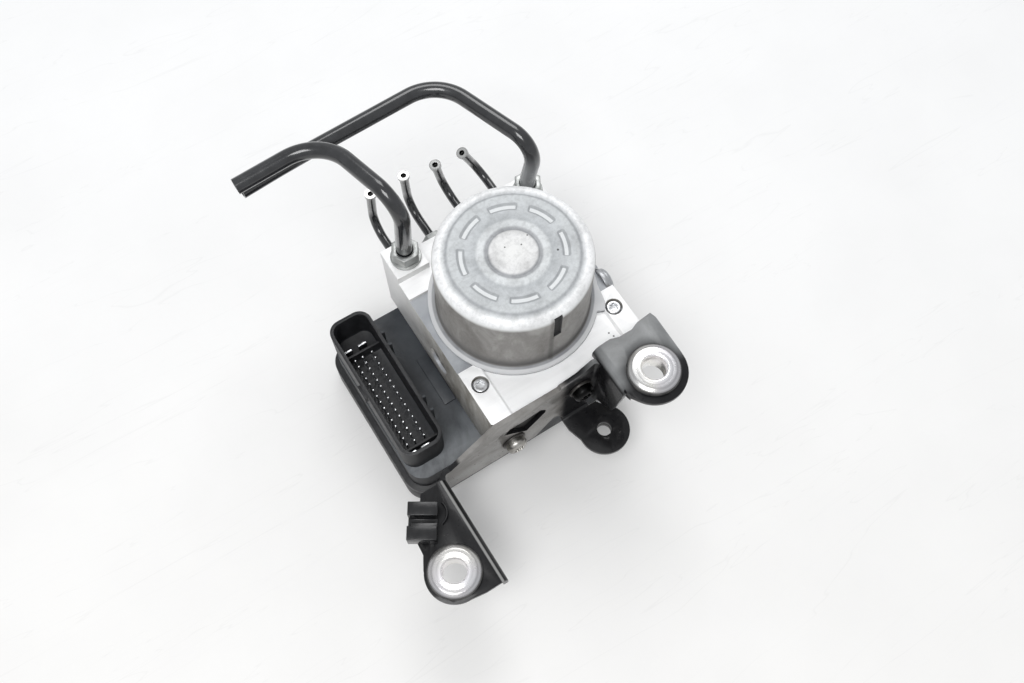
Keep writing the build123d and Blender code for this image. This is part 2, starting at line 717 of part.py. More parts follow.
with BuildPart() as ecu_housing:
    with BuildSketch(Plane.XY.offset(cover_height)):
        with Locations((ecu_middle, 0)):
            RectangleRounded(ecu_length, ecu_depth, ecu_corner_radius)
    extrude(amount=ecu_height - cover_height)
    with BuildSketch(Plane.XY.offset(cover_height)):
        with Locations((ecu_middle, 0)):
            RectangleRounded(rim_length, rim_depth, rim_corner)
    extrude(amount=rim_thickness)
    with BuildSketch(Plane.XY.offset(cover_height)):
        with Locations((ecu_middle, 0)):
            RectangleRounded(cavity_length, cavity_depth, cavity_corner)
    extrude(amount=ecu_height - cover_height - ecu_wall, mode=Mode.SUBTRACT)
    # Screw bosses hang from the top plate
    with BuildSketch(Plane.XY.offset(ecu_height - ecu_wall)):
        with Locations(*ecu_screw_places[:2]):
            Circle(ecu_boss_radius)
        with Locations((0, ecu_half_depth - 4.6)):
            Rectangle(2 * ecu_boss_radius, 9.0)
    extrude(amount=-(ecu_height - ecu_wall - cover_height))
    with BuildSketch(Plane.XY.offset(ecu_height)):
        with Locations(*ecu_screw_places):
            Circle(ecu_screw_radius + seat_clearance)
    extrude(amount=-(ecu_height - ecu_screw_end_height + 0.5), mode=Mode.SUBTRACT)
    # Openings for the valve domes and the motor lead
    with BuildSketch(Plane.XY.offset(ecu_height)):
        with Locations(*[(x, y) for x in valve_columns for y in valve_rows]):
            Circle(valve_dome_radius + 0.3)
        with Locations(lead_place):
            Circle(3.0)
    extrude(amount=-ecu_wall, mode=Mode.SUBTRACT)
    # Groove for the seal under the block
    with BuildSketch(Plane.XY.offset(ecu_height)):
        with Locations(seal_middle):
            RectangleRounded(seal_size[0], seal_size[1], 4.0)
            RectangleRounded(seal_size[0] - 2 * seal_width, seal_size[1] - 2 * seal_width, 2.4,
                             mode=Mode.SUBTRACT)
    extrude(amount=-seal_height, mode=Mode.SUBTRACT)
    # Raised pad beside the block
    with BuildSketch(Plane.XY.offset(ecu_height)):
        with Locations((-48.8, -1.75)):
            Rectangle(6.4, 29.5)
    extrude(amount=1.2)
    # Connector shroud
    with BuildSketch(Plane.XY.offset(ecu_height)):
        with Locations((connector_x, connector_y)):
            RectangleRounded(connector_width, connector_length, connector_corner_radius)
            RectangleRounded(
                connector_width - 2 * connector_wall,
                connector_length - 2 * connector_wall,
                connector_corner_radius - connector_wall,
                mode=Mode.SUBTRACT,
            )
    extrude(amount=connector_height)
    with BuildSketch(Plane.XY.offset(ecu_height)):
        with Locations((connector_x, connector_y)):
            RectangleRounded(
                connector_width - 2 * connector_wall,
                connector_length - 2 * connector_wall,
                connector_corner_radius - connector_wall,
            )
    extrude(amount=connector_floor - ecu_height, mode=Mode.SUBTRACT)
    # Cross ribs that part the end chambers from the pin field
    with BuildSketch(Plane.XY.offset(connector_floor)):
        with Locations((connector_x, 30.4), (connector_x, -29.6)):
            Rectangle(connector_width - 2 * connector_wall, 1.2)
    extrude(amount=8.0)
    # Key pockets outside the right wall and the latch bump outside the left wall
    with BuildSketch(Plane.XY.offset(ecu_height)):
        with Locations((connector_x + connector_width / 2 + 1.0, 25.0),
                       (connector_x + connector_width / 2 + 1.0, -17.0)):
            Rectangle(2.0, 9.0)
            Rectangle(2.0, 6.6, mode=Mode.SUBTRACT)
    extrude(amount=connector_height - 1.5)
    with BuildSketch(Plane.XY.offset(connector_top - 8.0)):
        with Locations((connector_x - connector_width / 2 - 0.7, connector_y + 2.0)):
            Rectangle(1.6, 8.0)
    extrude(amount=5.0)
    # Pins and blades pass through the floor
    with BuildSketch(Plane.XY.offset(connector_floor)):
        with Locations(*[(x, y) for x in pin_rows for y in pin_columns]):
            Rectangle(pin_width, pin_width)
        with Locations(*blade_places):
            Rectangle(blade_width, blade_thickness)
    extrude(amount=-(connector_floor - ecu_height + ecu_wall), mode=Mode.SUBTRACT)
ecu_housing.part.label = "ecu_housing"
export_step(ecu_housing.part, "parts/ecu_housing.step")

with BuildPart() as ecu_seal:
    with BuildSketch(Plane.XY.offset(ecu_height - seal_height)):
        with Locations(seal_middle):
            RectangleRounded(seal_size[0] - 0.1, seal_size[1] - 0.1, 3.95)
            RectangleRounded(seal_size[0] - 2 * seal_width + 0.1, seal_size[1] - 2 * seal_width + 0.1,
                             2.45, mode=Mode.SUBTRACT)
    extrude(amount=seal_height)
ecu_seal.part.label = "ecu_seal"
export_step(ecu_seal.part, "parts/ecu_seal.step")

# Cover pan under the housing, with posts that carry the board
post_places = [(x, y) for x in (-76.0, -38.0, 0.0, 36.0) for y in (-37.0, 37.0)]
with BuildPart() as ecu_cover:
    with BuildSketch():
        with Locations((ecu_middle, 0)):
            RectangleRounded(rim_length, rim_depth, rim_corner)
    extrude(amount=cover_height)
    chamfer(ecu_cover.faces().sort_by(Axis.Z)[0].edges(), 1.2)
    with BuildSketch(Plane.XY.offset(ecu_wall)):
        with Locations((ecu_middle, 0)):
            RectangleRounded(cavity_length, cavity_depth, cavity_corner)
    extrude(amount=cover_height - ecu_wall, mode=Mode.SUBTRACT)
    with BuildSketch(Plane.XY.offset(ecu_wall)):
        with Locations(*post_places):
            Circle(2.6)
    extrude(amount=board_height - ecu_wall)
    # Shallow label panel in the underside
    with BuildSketch():
        with Locations((ecu_middle - 24.0, 0)):
            RectangleRounded(44.0, 56.0, 3.0)
    extrude(amount=0.5, mode=Mode.SUBTRACT)
ecu_cover.part.label = "ecu_cover"
export_step(ecu_cover.part, "parts/ecu_cover.step")

with BuildPart() as circuit_board:
    with BuildSketch(Plane.XY.offset(board_height)):
        with Locations((ecu_middle, 0)):
            RectangleRounded(cavity_length - 1.0, cavity_depth - 1.0, cavity_corner - 0.5)
    extrude(amount=board_thickness)
circuit_board.part.label = "circuit_board"
export_step(circuit_board.part, "parts/circuit_board.step")

# Processor, two drivers, relays and the smoothing capacitors
with BuildPart() as board_components:
    with BuildSketch(Plane.XY.offset(board_top)):
        with Locations((0, 0)):
            Rectangle(18.0, 18.0)
        with Locations((-22.0, 0), (22.0, 0)):
            Rectangle(10.0, 10.0)
        with Locations((-50.0, -32.0), (-50.0, 32.0)):
            Rectangle(14.0, 12.0)
    extrude(amount=2.4)
    with BuildSketch(Plane.XY.offset(board_top)):
        with Locations((-53.0, -14.0), (-53.0, 0.0), (-53.0, 14.0)):
            Circle(5.0)
    extrude(amount=14.0)
board_components.part.label = "board_components"
export_step(board_components.part, "parts/board_components.step")

with BuildPart() as connector_pins:
    with BuildSketch(Plane.XY.offset(board_top)):
        with Locations(*[(x, y) for x in pin_rows for y in pin_columns]):
            Rectangle(pin_width, pin_width)
        with Locations(*blade_places):
            Rectangle(blade_width, blade_thickness)
    extrude(amount=connector_floor + pin_length - board_top)
connector_pins.part.label = "connector_pins"
export_step(connector_pins.part, "parts/connector_pins.step")


def drive_recess(radius):
    """Six-lobed drive outline for the screws and bolts, in the current sketch."""
    Circle(0.8 * radius)
    with PolarLocations(0.78 * radius, 6):
        Circle(0.24 * radius)


head_seat = block_top - ecu_screw_head_height - 0.5
with BuildPart() as ecu_screw:
    with BuildSketch(Plane.XY.offset(ecu_screw_end_height)):
        Circle(ecu_screw_radius)
    extrude(amount=head_seat - ecu_screw_end_height)
    with BuildSketch(Plane.XY.offset(head_seat)):
        Circle(ecu_screw_head_radius)
    extrude(amount=ecu_screw_head_height)
    fillet(ecu_screw.edges().sort_by(Axis.Z)[-1], 0.6)
    with BuildSketch(Plane.XY.offset(head_seat + ecu_screw_head_height)):
        drive_recess(2.2)
    extrude(amount=-1.8, mode=Mode.SUBTRACT)

with BuildPart() as ecu_screws:
    with Locations(*[(x, y, 0) for x, y in ecu_screw_places]):
        add(ecu_screw.part)
ecu_screws.part.label = "ecu_screws"
export_step(ecu_screws.part, "parts/ecu_screws.step")

with BuildPart() as side_plug:
    plug_start = block_width / 2 - side_plug_washer_thickness
    with BuildSketch(Plane.YZ.offset(plug_start)):
        with Locations((side_plug_y, side_plug_height)):
            Circle(side_plug_washer_radius)
    extrude(amount=side_plug_washer_thickness)
    with BuildSketch(Plane.YZ.offset(block_width / 2)):
        with Locations((side_plug_y, side_plug_height)):
            Circle(side_plug_radius)
    extrude(amount=2.6)
    fillet(side_plug.edges().sort_by(Axis.X)[-1], 2.0)
    with BuildSketch(Plane.YZ.offset(plug_start)):
        with Locations((side_plug_y, side_plug_height)):
            Circle(side_plug_bore_radius)
    extrude(amount=-side_plug_stem)
side_plug.part.label = "side_plug"
export_step(side_plug.part, "parts/side_plug.step")


# ---------------------------------------------------------------- bracket
# One bent sheet: a front plate bolted to the block, two walls that run forward and bend outwards
# into the mount tabs, and a third tab bent forward from the foot of the plate.
outer_bend = bend_radius + sheet
bend_end = -block_front - outer_bend
left_outer_x = left_wall_x - sheet
right_outer_x = right_wall_x + sheet
left_x, left_y = left_mount
right_x, right_y = right_mount
lower_x, lower_y = lower_mount
plate_outline = [
    (left_outer_x, plate_bottom), (-21.0, plate_bottom), (-9.0, plate_bottom + 15.0),
    (lower_x - 15.5, lower_tab_height + bend_radius), (lower_x, lower_tab_height + bend_radius),
    (lower_x, lower_tab_height + 8.0), (right_outer_x, lower_tab_height + 8.0),
    (right_outer_x, right_tab_height - outer_bend), (right_wall_x - 2.2, right_tab_height - 4.6),
    (2.0, block_top + 3.8), (-7.5, block_top + 1.8), (-8.5, block_top), (-44.5, block_top),
    (-46.5, block_top - 1.7), (-66.3, left_tab_height + 1.0), (-70.5, left_tab_height - 2.5),
    (left_outer_x, left_tab_height - 2.5),
]
window_outline = [
    (-40.5, 58.5), (-36.4, 62.2), (-29.4, 62.2), (-18.9, 63.7), (-15.8, 60.0), (-16.0, 56.5),
    (-26.7, 45.3), (-35.2, 54.1),
]
left_wall_outline = [
    (bend_end, plate_bottom), (bend_end, left_tab_height + 5.0),
    (left_tab_front, left_tab_height + 5.0), (left_tab_front, left_tab_height - 9.0),
]
right_wall_outline = [
    (bend_end, lower_tab_height + 8.0), (bend_end - 2.5, lower_tab_height + 13.0),
    (right_y + 5.9, lower_tab_height + 20.2), (right_y + 2.9, lower_tab_height + 23.0),
    (right_y + 2.5, lower_tab_height + 26.0), (right_y - 1.5, right_tab_height - 8.0),
    (right_y - 1.6, right_tab_height - outer_bend), (bend_end, right_tab_height - outer_bend),
]
left_tab_outline = [
    (left_wall_x, bend_end), (left_wall_x - 5.7, bend_end), (left_wall_x - 5.7, bend_end - 0.5),
    (left_x + 5.3, bend_end - 0.5), (left_x - 7.8, left_y + 21.8), (left_x - 8.3, left_y + 14.8),
    (left_x - 12.1, left_y + 8.1), (left_x, left_y), (left_x, left_y - 14.4),
    (left_x + 7.8, left_tab_front), (left_wall_x, left_tab_front),
]
right_tab_outline = [
    (right_wall_x, right_y + 23.7), (right_x - 8.2, right_y + 24.2), (right_x - 3.9, right_y + 22.8),
    (right_x + 3.6, right_y + 22.8), (right_x + 7.7, right_y + 24.5), (right_x + 15.9, right_y + 25.3),
    (right_x + 16.9, right_y + 21.9), (right_x + 16.5, right_y), (right_x, right_y),
    (right_x - 16.3, right_y), (right_wall_x, right_y - 1.6),
]
lower_tab_outline = [
    (lower_x - 15.5, -block_front + 2.0), (lower_x - 15.5, lower_y + 9.5),
    (lower_x - 13.1, lower_y + 1.5), (lower_x, lower_y), (lower_x + 12.9, lower_y + 3.0),
    (lower_x + 4.5, lower_y + 15.0), (lower_x, lower_y + 15.0), (lower_x, -block_front + 2.0),
]


def outline_prism(outline, plane, amount, circle=None):
    """Prism over a straight-sided outline, with an optional round end joined to it."""
    with BuildPart() as prism:
        with BuildSketch(plane):
            with BuildLine():
                Polyline(*outline, close=True)
            make_face()
            if circle:
                with Locations(circle[0]):
                    Circle(circle[1])
        extrude(amount=amount)
    return prism.part


def bent_tab(plane, leg, reach, length):
    """Sheet with a vertical leg below a bend and a horizontal tab of the given reach.

    The sketch runs in the plane's x and y with the leg's convex face on x = 0 and the tab's top
    face on y = 0.
    """
    with BuildPart() as tab:
        with BuildSketch(plane):
            with BuildLine():
                Line((0, -leg), (0, -outer_bend))
                RadiusArc((0, -outer_bend), (outer_bend, 0), outer_bend)
                Line((outer_bend, 0), (reach, 0))
                Line((reach, 0), (reach, -sheet))
                Line((reach, -sheet), (outer_bend, -sheet))
                RadiusArc((outer_bend, -sheet), (sheet, -outer_bend), -bend_radius)
                Line((sheet, -outer_bend), (sheet, -leg))
                Line((sheet, -leg), (0, -leg))
            make_face()
        extrude(amount=length)
    return tab.part


# Left wall and tab: the bend's convex face looks towards +X
left_plane = Plane(
    origin=(left_wall_x, left_tab_front, left_tab_height), x_dir=(-1, 0, 0), z_dir=(0, 1, 0)
)
left_sheet = bent_tab(left_plane, 32.0, 42.0, bend_end - left_tab_front)
left_sheet &= outline_prism(left_tab_outline, Plane.XY, 100.0, (left_mount, left_mount_radius))
left_sheet &= outline_prism(left_wall_outline, Plane.YZ.offset(-130.0), 60.0)

# Right wall and tab: the bend's convex face looks towards -X
right_plane = Plane(
    origin=(right_wall_x, right_y + 25.9, right_tab_height), x_dir=(1, 0, 0), z_dir=(0, -1, 0)
)
right_sheet = bent_tab(right_plane, 6.5, 42.0, 44.0)
right_sheet &= outline_prism(right_tab_outline, Plane.XY, 100.0, (right_mount, right_mount_radius))
right_wall = outline_prism(right_wall_outline, Plane.YZ.offset(right_wall_x), sheet)

# Foot tab: bent forward from the plate, with the bend's concave side uppermost
with BuildPart() as lower_sheet:
    with BuildSketch(Plane.YZ.offset(-6.0)):
        with BuildLine():
            Line((-block_front, lower_tab_height + 4.0), (-block_front, lower_tab_height + bend_radius))
            RadiusArc(
                (-block_front, lower_tab_height + bend_radius),
                (-block_front - outer_bend, lower_tab_height - sheet),
                outer_bend,
            )
            Line((-block_front - outer_bend, lower_tab_height - sheet), (-90.0, lower_tab_height - sheet))
            Line((-90.0, lower_tab_height - sheet), (-90.0, lower_tab_height))
            Line((-90.0, lower_tab_height), (-block_front - outer_bend, lower_tab_height))
            RadiusArc(
                (-block_front - outer_bend, lower_tab_height),
                (plate_front, lower_tab_height + bend_radius),
                -bend_radius,
            )
            Line((plate_front, lower_tab_height + bend_radius), (plate_front, lower_tab_height + 4.0))
            Line((plate_front, lower_tab_height + 4.0), (-block_front, lower_tab_height + 4.0))
        make_face()
    extrude(amount=32.0)
lower_piece = lower_sheet.part & outline_prism(
    lower_tab_outline, Plane.XY, 60.0, (lower_mount, lower_mount_radius)
)

# Plate with its two corner bends, drawn in plan and trimmed to the plate outline
with BuildPart() as plate_sheet:
    with BuildSketch(Plane.XY.offset(20.0)):
        with BuildLine():
            RadiusArc(
                (left_outer_x, bend_end), (left_outer_x + outer_bend, -block_front), outer_bend
            )
            Line((left_outer_x + outer_bend, -block_front), (right_outer_x - outer_bend, -block_front))
            RadiusArc(
                (right_outer_x - outer_bend, -block_front), (right_outer_x, bend_end), outer_bend
            )
            Line((right_outer_x, bend_end), (right_wall_x, bend_end))
            RadiusArc(
                (right_wall_x, bend_end), (right_wall_x - bend_radius, plate_front), -bend_radius
            )
            Line((right_wall_x - bend_radius, plate_front), (left_wall_x + bend_radius, plate_front))
            RadiusArc(
                (left_wall_x + bend_radius, plate_front), (left_wall_x, bend_end), -bend_radius
            )
            Line((left_wall_x, bend_end), (left_outer_x, bend_end))
        make_face()
    extrude(amount=70.0)
plate_piece = plate_sheet.part & outline_prism(plate_outline, Plane.XZ.offset(45.0), 20.0)

with BuildPart() as bracket:
    add(plate_piece)
    add(left_sheet)
    add(right_sheet)
    add(right_wall)
    add(lower_piece)
    # Window and bolt holes in the plate
    with BuildSketch(Plane.XZ.offset(block_front - 1.0)):
        with BuildLine():
            Polyline(*window_outline, close=True)
        make_face()
        with Locations(*bracket_bolt_places):
            Circle(bracket_bolt_radius + 0.3)
    extrude(amount=sheet + 2.0, mode=Mode.SUBTRACT)
    # Mount holes in the three tabs
    with BuildSketch(Plane.XY.offset(left_tab_height + 1.0)):
        with Locations(left_mount):
            Circle(grommet_groove_radius + seat_clearance)
    extrude(amount=-sheet - 2.0, mode=Mode.SUBTRACT)
    with BuildSketch(Plane.XY.offset(right_tab_height + 1.0)):
        with Locations(right_mount):
            Circle(grommet_groove_radius + seat_clearance)
    extrude(amount=-sheet - 2.0, mode=Mode.SUBTRACT)
    with BuildSketch(Plane.XY.offset(lower_tab_height + 1.0)):
        with Locations(lower_mount):
            Circle(lower_hole_radius)
    extrude(amount=-sheet - 2.0, mode=Mode.SUBTRACT)
    # Slot in the right wall and the clip's hole in the left tab
    with BuildSketch(Plane.YZ.offset(right_wall_x - 1.0)):
        with Locations(Location((-62.0, 64.0, 0), 33.0)):
            SlotOverall(8.0, 3.5)
    extrude(amount=sheet + 2.0, mode=Mode.SUBTRACT)
    with BuildSketch(Plane.XY.offset(left_tab_height + 1.0)):
        with Locations(clip_place):
            Circle(clip_peg_radius + 0.3)
    extrude(amount=-sheet - 2.0, mode=Mode.SUBTRACT)
bracket.part.label = "bracket"
export_step(bracket.part, "parts/bracket.step")

with BuildPart() as weld_nut:
    with BuildSketch(Plane.XY.offset(lower_tab_height - sheet)):
        with Locations(lower_mount):
            RegularPolygon(weld_nut_radius, 6, major_radius=False)
            Circle(lower_hole_radius, mode=Mode.SUBTRACT)
    extrude(amount=-weld_nut_height)
weld_nut.part.label = "weld_nut"
export_step(weld_nut.part, "parts/weld_nut.step")

washer_front = plate_front - bracket_washer_thickness
with BuildPart() as bracket_washers:
    with BuildSketch(Plane.XZ.offset(-plate_front)):
        with Locations(*bracket_bolt_places):
            Circle(bracket_washer_radius)
            Circle(bracket_bolt_radius + 0.3, mode=Mode.SUBTRACT)
    extrude(amount=bracket_washer_thickness)
bracket_washers.part.label = "bracket_washers"
export_step(bracket_washers.part, "parts/bracket_washers.step")

with BuildPart() as bracket_bolt:
    with BuildSketch(Plane.XY):
        Circle(bracket_bolt_radius)
    extrude(amount=-(bracket_bolt_length - 0.5 + sheet + bracket_washer_thickness))
    with BuildSketch(Plane.XY):
        Circle(bracket_bolt_head_radius)
    extrude(amount=bracket_bolt_head_height)
    fillet(bracket_bolt.edges().sort_by(Axis.Z)[-1], 2.6)
    with BuildSketch(Plane.XY.offset(bracket_bolt_head_height)):
        drive_recess(3.0)
    extrude(amount=-2.4, mode=Mode.SUBTRACT)

with BuildPart() as bracket_bolts:
    for x, z in bracket_bolt_places:
        with Locations(Location((x, washer_front, z), (90, 0, 0))):
            add(bracket_bolt.part)
bracket_bolts.part.label = "bracket_bolts"
export_step(bracket_bolts.part, "parts/bracket_bolts.step")


# ---------------------------------------------------------------- rubber mounts
mount_places = ((left_mount, left_tab_height), (right_mount, right_tab_height))
sleeve_top = grommet_flange_height + sleeve_flange_thickness
sleeve_foot = sheet + grommet_lower_height
with BuildPart() as grommet:
    with BuildSketch(Plane.XY):
        Circle(grommet_flange_radius)
    extrude(amount=grommet_flange_height)
    with BuildSketch(Plane.XY):
        Circle(grommet_groove_radius)
    extrude(amount=-sheet)
    with BuildSketch(Plane.XY.offset(-sheet)):
        Circle(grommet_flange_radius - 1.0)
    extrude(amount=-grommet_lower_height)
    chamfer(grommet.edges().sort_by(Axis.Z)[0], 1.5)
    with BuildSketch(Plane.XY.offset(grommet_flange_height)):
        Circle(sleeve_radius + seat_clearance)
    extrude(amount=-(grommet_flange_height + sleeve_foot), mode=Mode.SUBTRACT)

with BuildPart() as grommets:
    with Locations(*[(x, y, z) for (x, y), z in mount_places]):
        add(grommet.part)
grommets.part.label = "grommets"
export_step(grommets.part, "parts/grommets.step")

with BuildPart() as mount_sleeve:
    with BuildSketch(Plane.XY.offset(-sleeve_foot)):
        Circle(sleeve_radius)
    extrude(amount=sleeve_foot + sleeve_top)
    with BuildSketch(Plane.XY.offset(grommet_flange_height)):
        Circle(sleeve_flange_radius)
    extrude(amount=sleeve_flange_thickness)
    chamfer(mount_sleeve.edges().sort_by(Axis.Z)[-1], 1.1)
    with BuildSketch(Plane.XY.offset(sleeve_top)):
        Circle(sleeve_bore_radius)
    extrude(amount=-(sleeve_top + sleeve_foot), mode=Mode.SUBTRACT)
    chamfer(mount_sleeve.edges().filter_by(GeomType.CIRCLE).group_by(Axis.Z)[-1]
            .sort_by(SortBy.RADIUS)[0], 0.5)

with BuildPart() as mount_sleeves:
    with Locations(*[(x, y, z) for (x, y), z in mount_places]):
        add(mount_sleeve.part)
mount_sleeves.part.label = "mount_sleeves"
export_step(mount_sleeves.part, "parts/mount_sleeves.step")


# ---------------------------------------------------------------- cable clip
clip_width = 2 * clip_jaw_width + clip_jaw_gap
with BuildPart() as cable_clip:
    with BuildSketch(Plane.XY.offset(left_tab_height)):
        with Locations(Location((clip_place[0], clip_place[1], 0), clip_angle)):
            Rectangle(clip_length, clip_width)
    extrude(amount=clip_base_height)
    with BuildSketch(Plane.XY.offset(left_tab_height + clip_base_height)):
        with Locations(Location((clip_place[0], clip_place[1], 0), clip_angle)):
            with GridLocations(0, clip_jaw_width + clip_jaw_gap, 1, 2):
                Rectangle(clip_length, clip_jaw_width)
    extrude(amount=clip_jaw_height - clip_base_height)
    # Low step on the outer half of the channel
    with BuildSketch(Plane.XY.offset(left_tab_height + clip_base_height)):
        with Locations(Location((clip_place[0], clip_place[1], 0), clip_angle)):
            with Locations((1.0, -clip_jaw_gap / 2 + 1.1)):
                Rectangle(clip_length - 2.0, 2.2)
    extrude(amount=clip_jaw_height - clip_base_height - 3.0)
    # Peg through the tab with a spread foot
    with BuildSketch(Plane.XY.offset(left_tab_height)):
        with Locations(clip_place):
            Circle(clip_peg_radius)
    extrude(amount=-sheet - 3.5)
    with BuildSketch(Plane.XY.offset(left_tab_height - sheet - 0.5)):
        with Locations(clip_place):
            Circle(clip_peg_radius + 1.0)
    extrude(amount=-1.5)
cable_clip.part.label = "cable_clip"
export_step(cable_clip.part, "parts/cable_clip.step")


# ---------------------------------------------------------------- pipes and nuts
def hollow_pipe(corners, radii, radius, bore, flare=0.0, flare_length=1.0):
    """Hollow pipe of straight runs joined by tangent arcs, with an optional flared far end."""
    points = [Vector(*corner) for corner in corners]
    with BuildPart() as pipe:
        with BuildLine() as path:
            start = points[0]
            for index in range(1, len(points) - 1):
                corner = points[index]
                before = (points[index - 1] - corner).normalized()
                after = (points[index + 1] - corner).normalized()
                half = before.get_angle(after) / 2
                setback = radii[index - 1] / math.tan(math.radians(half))
                arc_start = corner + before * setback
                arc_end = corner + after * setback
                Line(start, arc_start)
                TangentArc(arc_start, arc_end, tangent=-before)
                start = arc_end
            Line(start, points[-1])
        with BuildSketch(Plane(origin=points[0], z_dir=points[1] - points[0])):
            Circle(radius)
            Circle(bore, mode=Mode.SUBTRACT)
        sweep(path=path.line)
        if flare:
            with BuildSketch(Plane(origin=points[-1], z_dir=points[-2] - points[-1])):
                Circle(radius + flare)
                Circle(bore, mode=Mode.SUBTRACT)
            extrude(amount=flare_length)
    return pipe.part


# Corners of the two master pipe routes, as offsets from the mouth of each port
left_route = [(0, 0, -master_port_depth), (0, 0, 13.0), (0.8, -4.4, 54.8), (-11.7, 51.2, 48.2),
              (-57.3, 50.1, 46.0)]
left_radii = (30.0, 14.2, 23.5)
right_route = [(0, 0, -master_port_depth), (0, 0, 13.0), (3.7, -1.4, 38.3), (-16.9, 57.8, 38.3),
               (-88.8, 55.8, 37.0), (-107.6, 54.6, 37.0), (-127.4, 52.9, 37.0)]
right_radii = (30.0, 13.0, 23.2, 60.0, 60.0)
routes = (("left", left_route, left_radii), ("right", right_route, right_radii))
for (port_x, port_y), (side_name, route, radii) in zip(master_ports, routes):
    corners = [(port_x + dx, port_y + dy, platform_top + dz) for dx, dy, dz in route]
    master_pipe = hollow_pipe(corners, radii, master_pipe_radius, master_pipe_bore)
    master_pipe.label = f"master_pipe_{side_name}"
    export_step(master_pipe, f"parts/master_pipe_{side_name}.step")

with BuildPart() as master_nut:
    with BuildSketch(Plane.XY.offset(-master_port_depth + 3.0)):
        Circle(master_thread_radius)
    extrude(amount=master_port_depth - 3.0)
    with BuildSketch(Plane.XY):
        RegularPolygon(master_nut_flats / 2, 6, major_radius=False)
    extrude(amount=master_nut_height)
    with BuildSketch(Plane.XY):
        Circle(master_nut_flats / 2 + 1.3)
    extrude(amount=1.6)
    with BuildSketch(Plane.XY.offset(master_nut_height)):
        Circle(master_pipe_radius + 0.3)
    extrude(amount=-(master_nut_height + master_port_depth), mode=Mode.SUBTRACT)

with BuildPart() as master_nuts:
    with Locations(*[(x, y, platform_top) for x, y in master_ports]):
        add(master_nut.part)
master_nuts.part.label = "master_nuts"
export_step(master_nuts.part, "parts/master_nuts.step")

wheel_port_bottom = block_back - wheel_port_depth
wheel_end = block_back + wheel_run
for index, (x, lean, rise) in enumerate(zip(wheel_port_x, wheel_leans, wheel_rises), start=1):
    corners = [
        (x, wheel_port_bottom, wheel_port_height),
        (x, wheel_end, wheel_port_height),
        (x + lean, wheel_end, wheel_port_height + rise),
    ]
    wheel_pipe = hollow_pipe(
        corners, (wheel_bend_radius,), wheel_pipe_radius, wheel_pipe_bore, wheel_flare, wheel_flare_length
    )
    wheel_pipe.label = f"wheel_pipe_{index}"
    export_step(wheel_pipe, f"parts/wheel_pipe_{index}.step")

with BuildPart() as wheel_nut:
    with BuildSketch(Plane.XY.offset(-wheel_port_depth + 2.5)):
        Circle(wheel_thread_radius)
    extrude(amount=wheel_port_depth - 2.5)
    with BuildSketch(Plane.XY):
        RegularPolygon(wheel_nut_flats / 2, 6, major_radius=False)
    extrude(amount=wheel_nut_length)
    with BuildSketch(Plane.XY.offset(wheel_nut_length)):
        Circle(wheel_pipe_radius + 0.3)
    extrude(amount=-(wheel_nut_length + wheel_port_depth), mode=Mode.SUBTRACT)

with BuildPart() as wheel_nuts:
    for x in wheel_port_x:
        with Locations(Location((x, block_back, wheel_port_height), (-90, 0, 0))):
            add(wheel_nut.part)
wheel_nuts.part.label = "wheel_nuts"
export_step(wheel_nuts.part, "parts/wheel_nuts.step")
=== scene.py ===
"""Dressed model of a brake hydraulic unit: finishes, rounded edges and small parts over the CAD."""

import math

import bmesh
import bpy
from mathutils import Matrix, Vector


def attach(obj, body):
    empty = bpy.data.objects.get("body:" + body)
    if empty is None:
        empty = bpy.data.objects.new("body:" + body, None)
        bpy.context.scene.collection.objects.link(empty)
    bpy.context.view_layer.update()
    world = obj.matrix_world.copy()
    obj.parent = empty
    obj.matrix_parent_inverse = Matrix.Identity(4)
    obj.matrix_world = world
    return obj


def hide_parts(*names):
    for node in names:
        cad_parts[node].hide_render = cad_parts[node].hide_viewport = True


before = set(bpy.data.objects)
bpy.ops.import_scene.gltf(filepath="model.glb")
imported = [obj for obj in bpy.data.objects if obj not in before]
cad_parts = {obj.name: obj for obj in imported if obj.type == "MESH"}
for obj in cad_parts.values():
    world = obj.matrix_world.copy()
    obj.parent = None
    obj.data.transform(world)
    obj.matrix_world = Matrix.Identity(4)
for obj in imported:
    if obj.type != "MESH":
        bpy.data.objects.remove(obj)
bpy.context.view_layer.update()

# ---------------------------------------------------------------- camera
# A 36 mm lens looks down from the front left, steeply enough to show the unit's top.
eye = Vector((-0.12206, -0.18920, 0.53317))
across = Vector((0.84514, -0.53454, 0.00325))
upward = Vector((0.48882, 0.77528, 0.39999))
behind = Vector((-0.21633, -0.33646, 0.91651))
camera_data = bpy.data.cameras.new("view_camera")
camera_data.sensor_width = 36.0
camera_data.lens = 36.127
camera_data.clip_start = 0.01
camera = bpy.data.objects.new("view_camera", camera_data)
camera.matrix_world = Matrix.Translation(eye) @ Matrix((across, upward, behind)).transposed().to_4x4()
bpy.context.collection.objects.link(camera)
bpy.context.scene.camera = camera
bpy.context.scene.view_settings.view_transform = "Standard"

# ---------------------------------------------------------------- floor and light
# A pale coated board, painted paler towards its far side as painted light, under a wide softbox
# above the far side, a weak one behind the camera and an even sky.
board_size = 2.5
board_near = (0.81, 0.8019, 0.78975)
board_far = (0.85, 0.85, 0.85)
far_turn = (0.0, 0.0, 0.56)
hair_turn = (0.0, 0.0, 0.9)
board_glow = 0.05
sky_strength = 0.62


def shaded(name, metallic=0.0, roughness=0.5, **sockets):
    """New material: its tree, its shader and the piece's own coordinates."""
    made = bpy.data.materials.new(name)
    made.use_nodes = True
    tree = made.node_tree
    shader = tree.nodes["Principled BSDF"]
    shader.inputs["Metallic"].default_value = metallic
    shader.inputs["Roughness"].default_value = roughness
    for socket, value in sockets.items():
        shader.inputs[socket.replace("_", " ")].default_value = value
    place = tree.nodes.new("ShaderNodeTexCoord").outputs["Object"]
    return made, tree, shader, place


